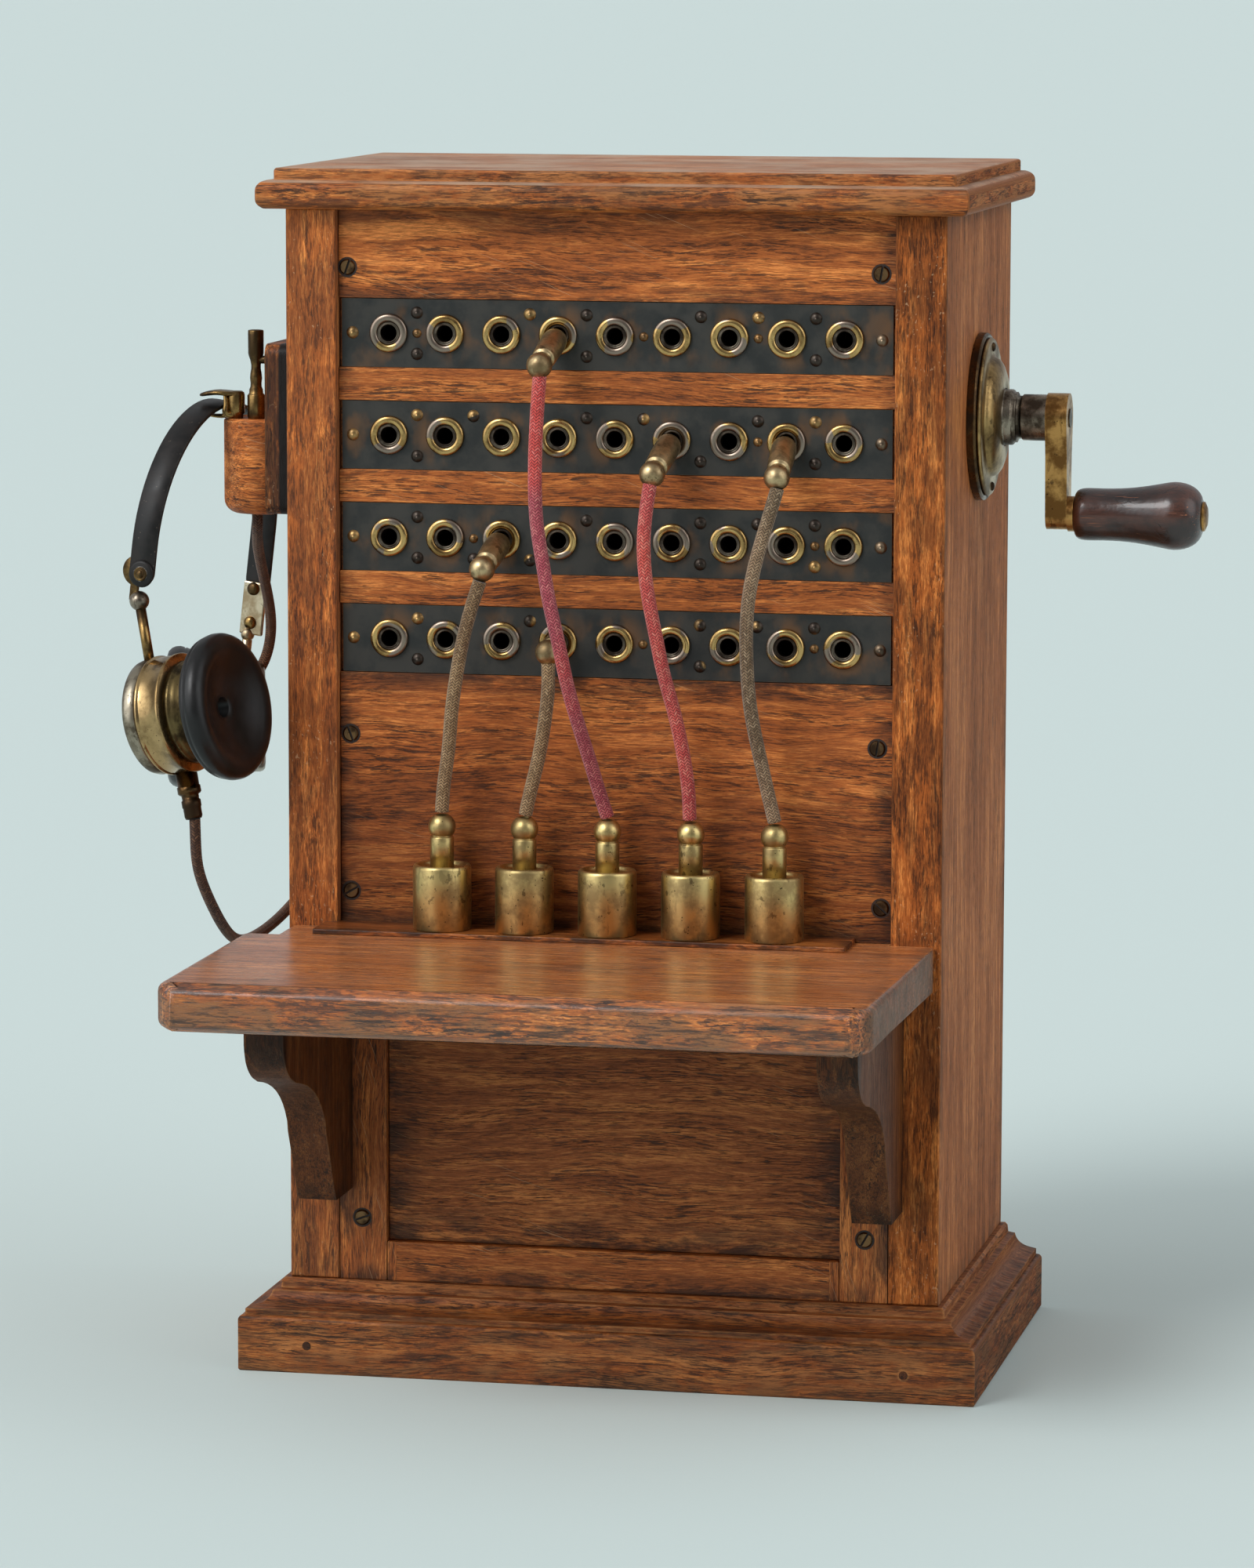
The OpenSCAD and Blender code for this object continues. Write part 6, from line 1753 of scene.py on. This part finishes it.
# %% Routes
ROUTES = {
    "cord_1": [(-71, -9, 242), (-70, -10, 254), (-67, -13, 268), (-65, -17, 285), (-62, -20, 301),
               (-59, -22, 315), (-55, -24, 329), (-51, -24, 341)],
    "cord_2": [(-35, -9, 242), (-32, -11, 254), (-28, -13, 268), (-25, -15, 285), (-24, -14, 297),
               (-25, -11, 308)],
    "cord_3": [(0, -9, 242), (-3, -12, 253), (-6, -19, 269), (-10, -27, 287), (-13, -33, 304),
               (-15, -36, 318), (-19, -36, 334), (-22, -33, 349), (-26, -29, 366),
               (-27, -27, 384), (-27, -25, 404), (-26, -22, 427)],
    "cord_4": [(35, -9, 242), (35, -11, 255), (33, -14, 271), (30, -17, 288), (26, -21, 304),
               (24, -24, 318), (21, -26, 334), (19, -27, 350), (19, -27, 366), (21, -24, 383)],
    "cord_5": [(71, -9, 242), (68, -11, 256), (65, -14, 272), (62, -18, 290), (61, -20, 308),
               (61, -22, 325), (63, -24, 342), (67, -24, 358), (71, -24, 371), (74, -23, 382)],
    "headset_cord_1": [(-139, 84, 201), (-144, 83, 201), (-149, 76, 198), (-154, 62, 190),
                       (-158, 47, 184), (-162, 26, 180), (-165, 6, 181), (-167, -8, 190),
                       (-169, -20, 202), (-172, -28, 216), (-172, -31, 228), (-172, -32, 239)],
    "headset_cord_2": [(-160, 26, 364), (-160, 27, 359), (-162, 33, 353), (-166, 50, 343),
                       (-168, 68, 328), (-169, 81, 313), (-171, 87, 301), (-174, 89, 292),
                       (-177, 89, 287)],
}
PATCH_WIDE, LEAD_WIDE = 5.8 * MM, 4.7 * MM
print(len(ROUTES), "cords")

# %% Tubes
EASING_PASSES, TUBE_SIDES, TUBE_FINER = 6, 18, 3


def eased(path):
    """The same line with its small kinks averaged away; its ends stay where they are."""
    for _ in range(EASING_PASSES):
        inner = [(a + b * 2 + c) / 4 for a, b, c in zip(path, path[1:], path[2:])]
        path = [path[0]] + inner + [path[-1]]
    return path


def round_way(side, up, sides):
    """Directions round a tube, one for each of its sides."""
    return [side * math.cos(2 * math.pi * k / sides) + up * math.sin(2 * math.pi * k / sides)
            for k in range(sides)]


def tube(name, path, wide, sides=TUBE_SIDES):
    """A closed tube along a path, with a UV map of metres along and turns round."""
    line = smooth_path(path, TUBE_FINER)
    mesh = bmesh.new()
    layer = mesh.loops.layers.uv.new("cord")
    rings, run, side = [], [0.0], Vector((1, 0, 0))
    for i, point in enumerate(line):
        way = (line[min(len(line) - 1, i + 1)] - line[max(0, i - 1)]).normalized()
        side = (side - way * side.dot(way)).normalized()
        up = way.cross(side)
        if i:
            run.append(run[-1] + (point - line[i - 1]).length)
        rings.append([mesh.verts.new(point + out * wide / 2)
                      for out in round_way(side, up, sides)])
    for i in range(len(rings) - 1):
        for k in range(sides):
            face = mesh.faces.new((rings[i][k], rings[i][(k + 1) % sides],
                                   rings[i + 1][(k + 1) % sides], rings[i + 1][k]))
            face.smooth = True
            for loop, (u, v) in zip(face.loops, ((run[i], k), (run[i], k + 1),
                                                 (run[i + 1], k + 1), (run[i + 1], k))):
                loop[layer].uv = (u, v / sides)
    mesh.faces.new(reversed(rings[0]))
    mesh.faces.new(rings[-1])
    return as_object(name, mesh)


print("a cord has", TUBE_SIDES, "sides")

# %% Colours of the cords
CRIMSON = braid("crimson_braid", srgb(222, 84, 76), srgb(176, 78, 90), srgb(238, 156, 146),
                srgb(100, 36, 40))
RED = braid("red_braid", srgb(230, 98, 84), srgb(200, 80, 80), srgb(246, 174, 152),
            srgb(112, 38, 38))
OLIVE = braid("olive_braid", srgb(164, 132, 94), srgb(136, 106, 74), srgb(212, 182, 140),
              srgb(64, 48, 35))
TAN = braid("tan_braid", srgb(158, 128, 98), srgb(122, 98, 72), srgb(206, 180, 146),
            srgb(60, 48, 38))
BROWN = braid("brown_braid", srgb(112, 74, 48), srgb(80, 50, 34), srgb(150, 108, 78),
              srgb(34, 21, 15), step=0.0012, starts=10)
CORD_LOOKS = {"cord_1": (OLIVE, "olive_braid"), "cord_2": (OLIVE, "olive_braid"),
              "cord_3": (CRIMSON, "crimson_braid"), "cord_4": (RED, "red_braid"),
              "cord_5": (TAN, "tan_braid"), "headset_cord_1": (BROWN, "brown_braid"),
              "headset_cord_2": (BROWN, "brown_braid")}
print(len({slot for _, slot in CORD_LOOKS.values()}), "colours of braid")

# %% Adding a cord
def add_cord(node, wide, held_by, goes_with, far_end, length, with_pieces=()):
    """A braided tube along a cord's route, in place of its CAD node. The body that holds it and
    the body it goes with are not used.
    """
    route = [Vector((x, y, z)) * MM + Vector((0, FRONT, 0)) for x, y, z in ROUTES[node]]
    path = eased(smooth_path(route))
    made = tube("braided_" + node, path, wide)
    look, slot = CORD_LOOKS[node]
    made.data.materials.append(look)
    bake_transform(made)
    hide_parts(node)
    print(made.name, "is", length, "m long and", round(wide / MM, 1), "mm thick")

# %% Patch cords and headset leads
# Lengths in metres, along each cord's middle.
PATCH_LENGTHS = {1: 0.103, 2: 0.068, 3: 0.195, 4: 0.146, 5: 0.145}
LEAD_LENGTHS = {1: 0.163, 2: 0.107}
for k, length in PATCH_LENGTHS.items():
    add_cord(f"cord_{k}", PATCH_WIDE, "cabinet", f"patch_{k}", "plug", length,
             with_pieces=[TURNED_PLUGS[k]])
for k, length in LEAD_LENGTHS.items():
    add_cord(f"headset_cord_{k}", LEAD_WIDE, "hook", "headset", "object", length)

# %% [markdown]
# ## Size
#
# The dressed model has to keep the size of the CAD part. Both boxes are measured, and the
# dressed one is printed.

# %% Size
visual_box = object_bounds()
print("visual box:", [[round(v, 4) for v in corner] for corner in visual_box])
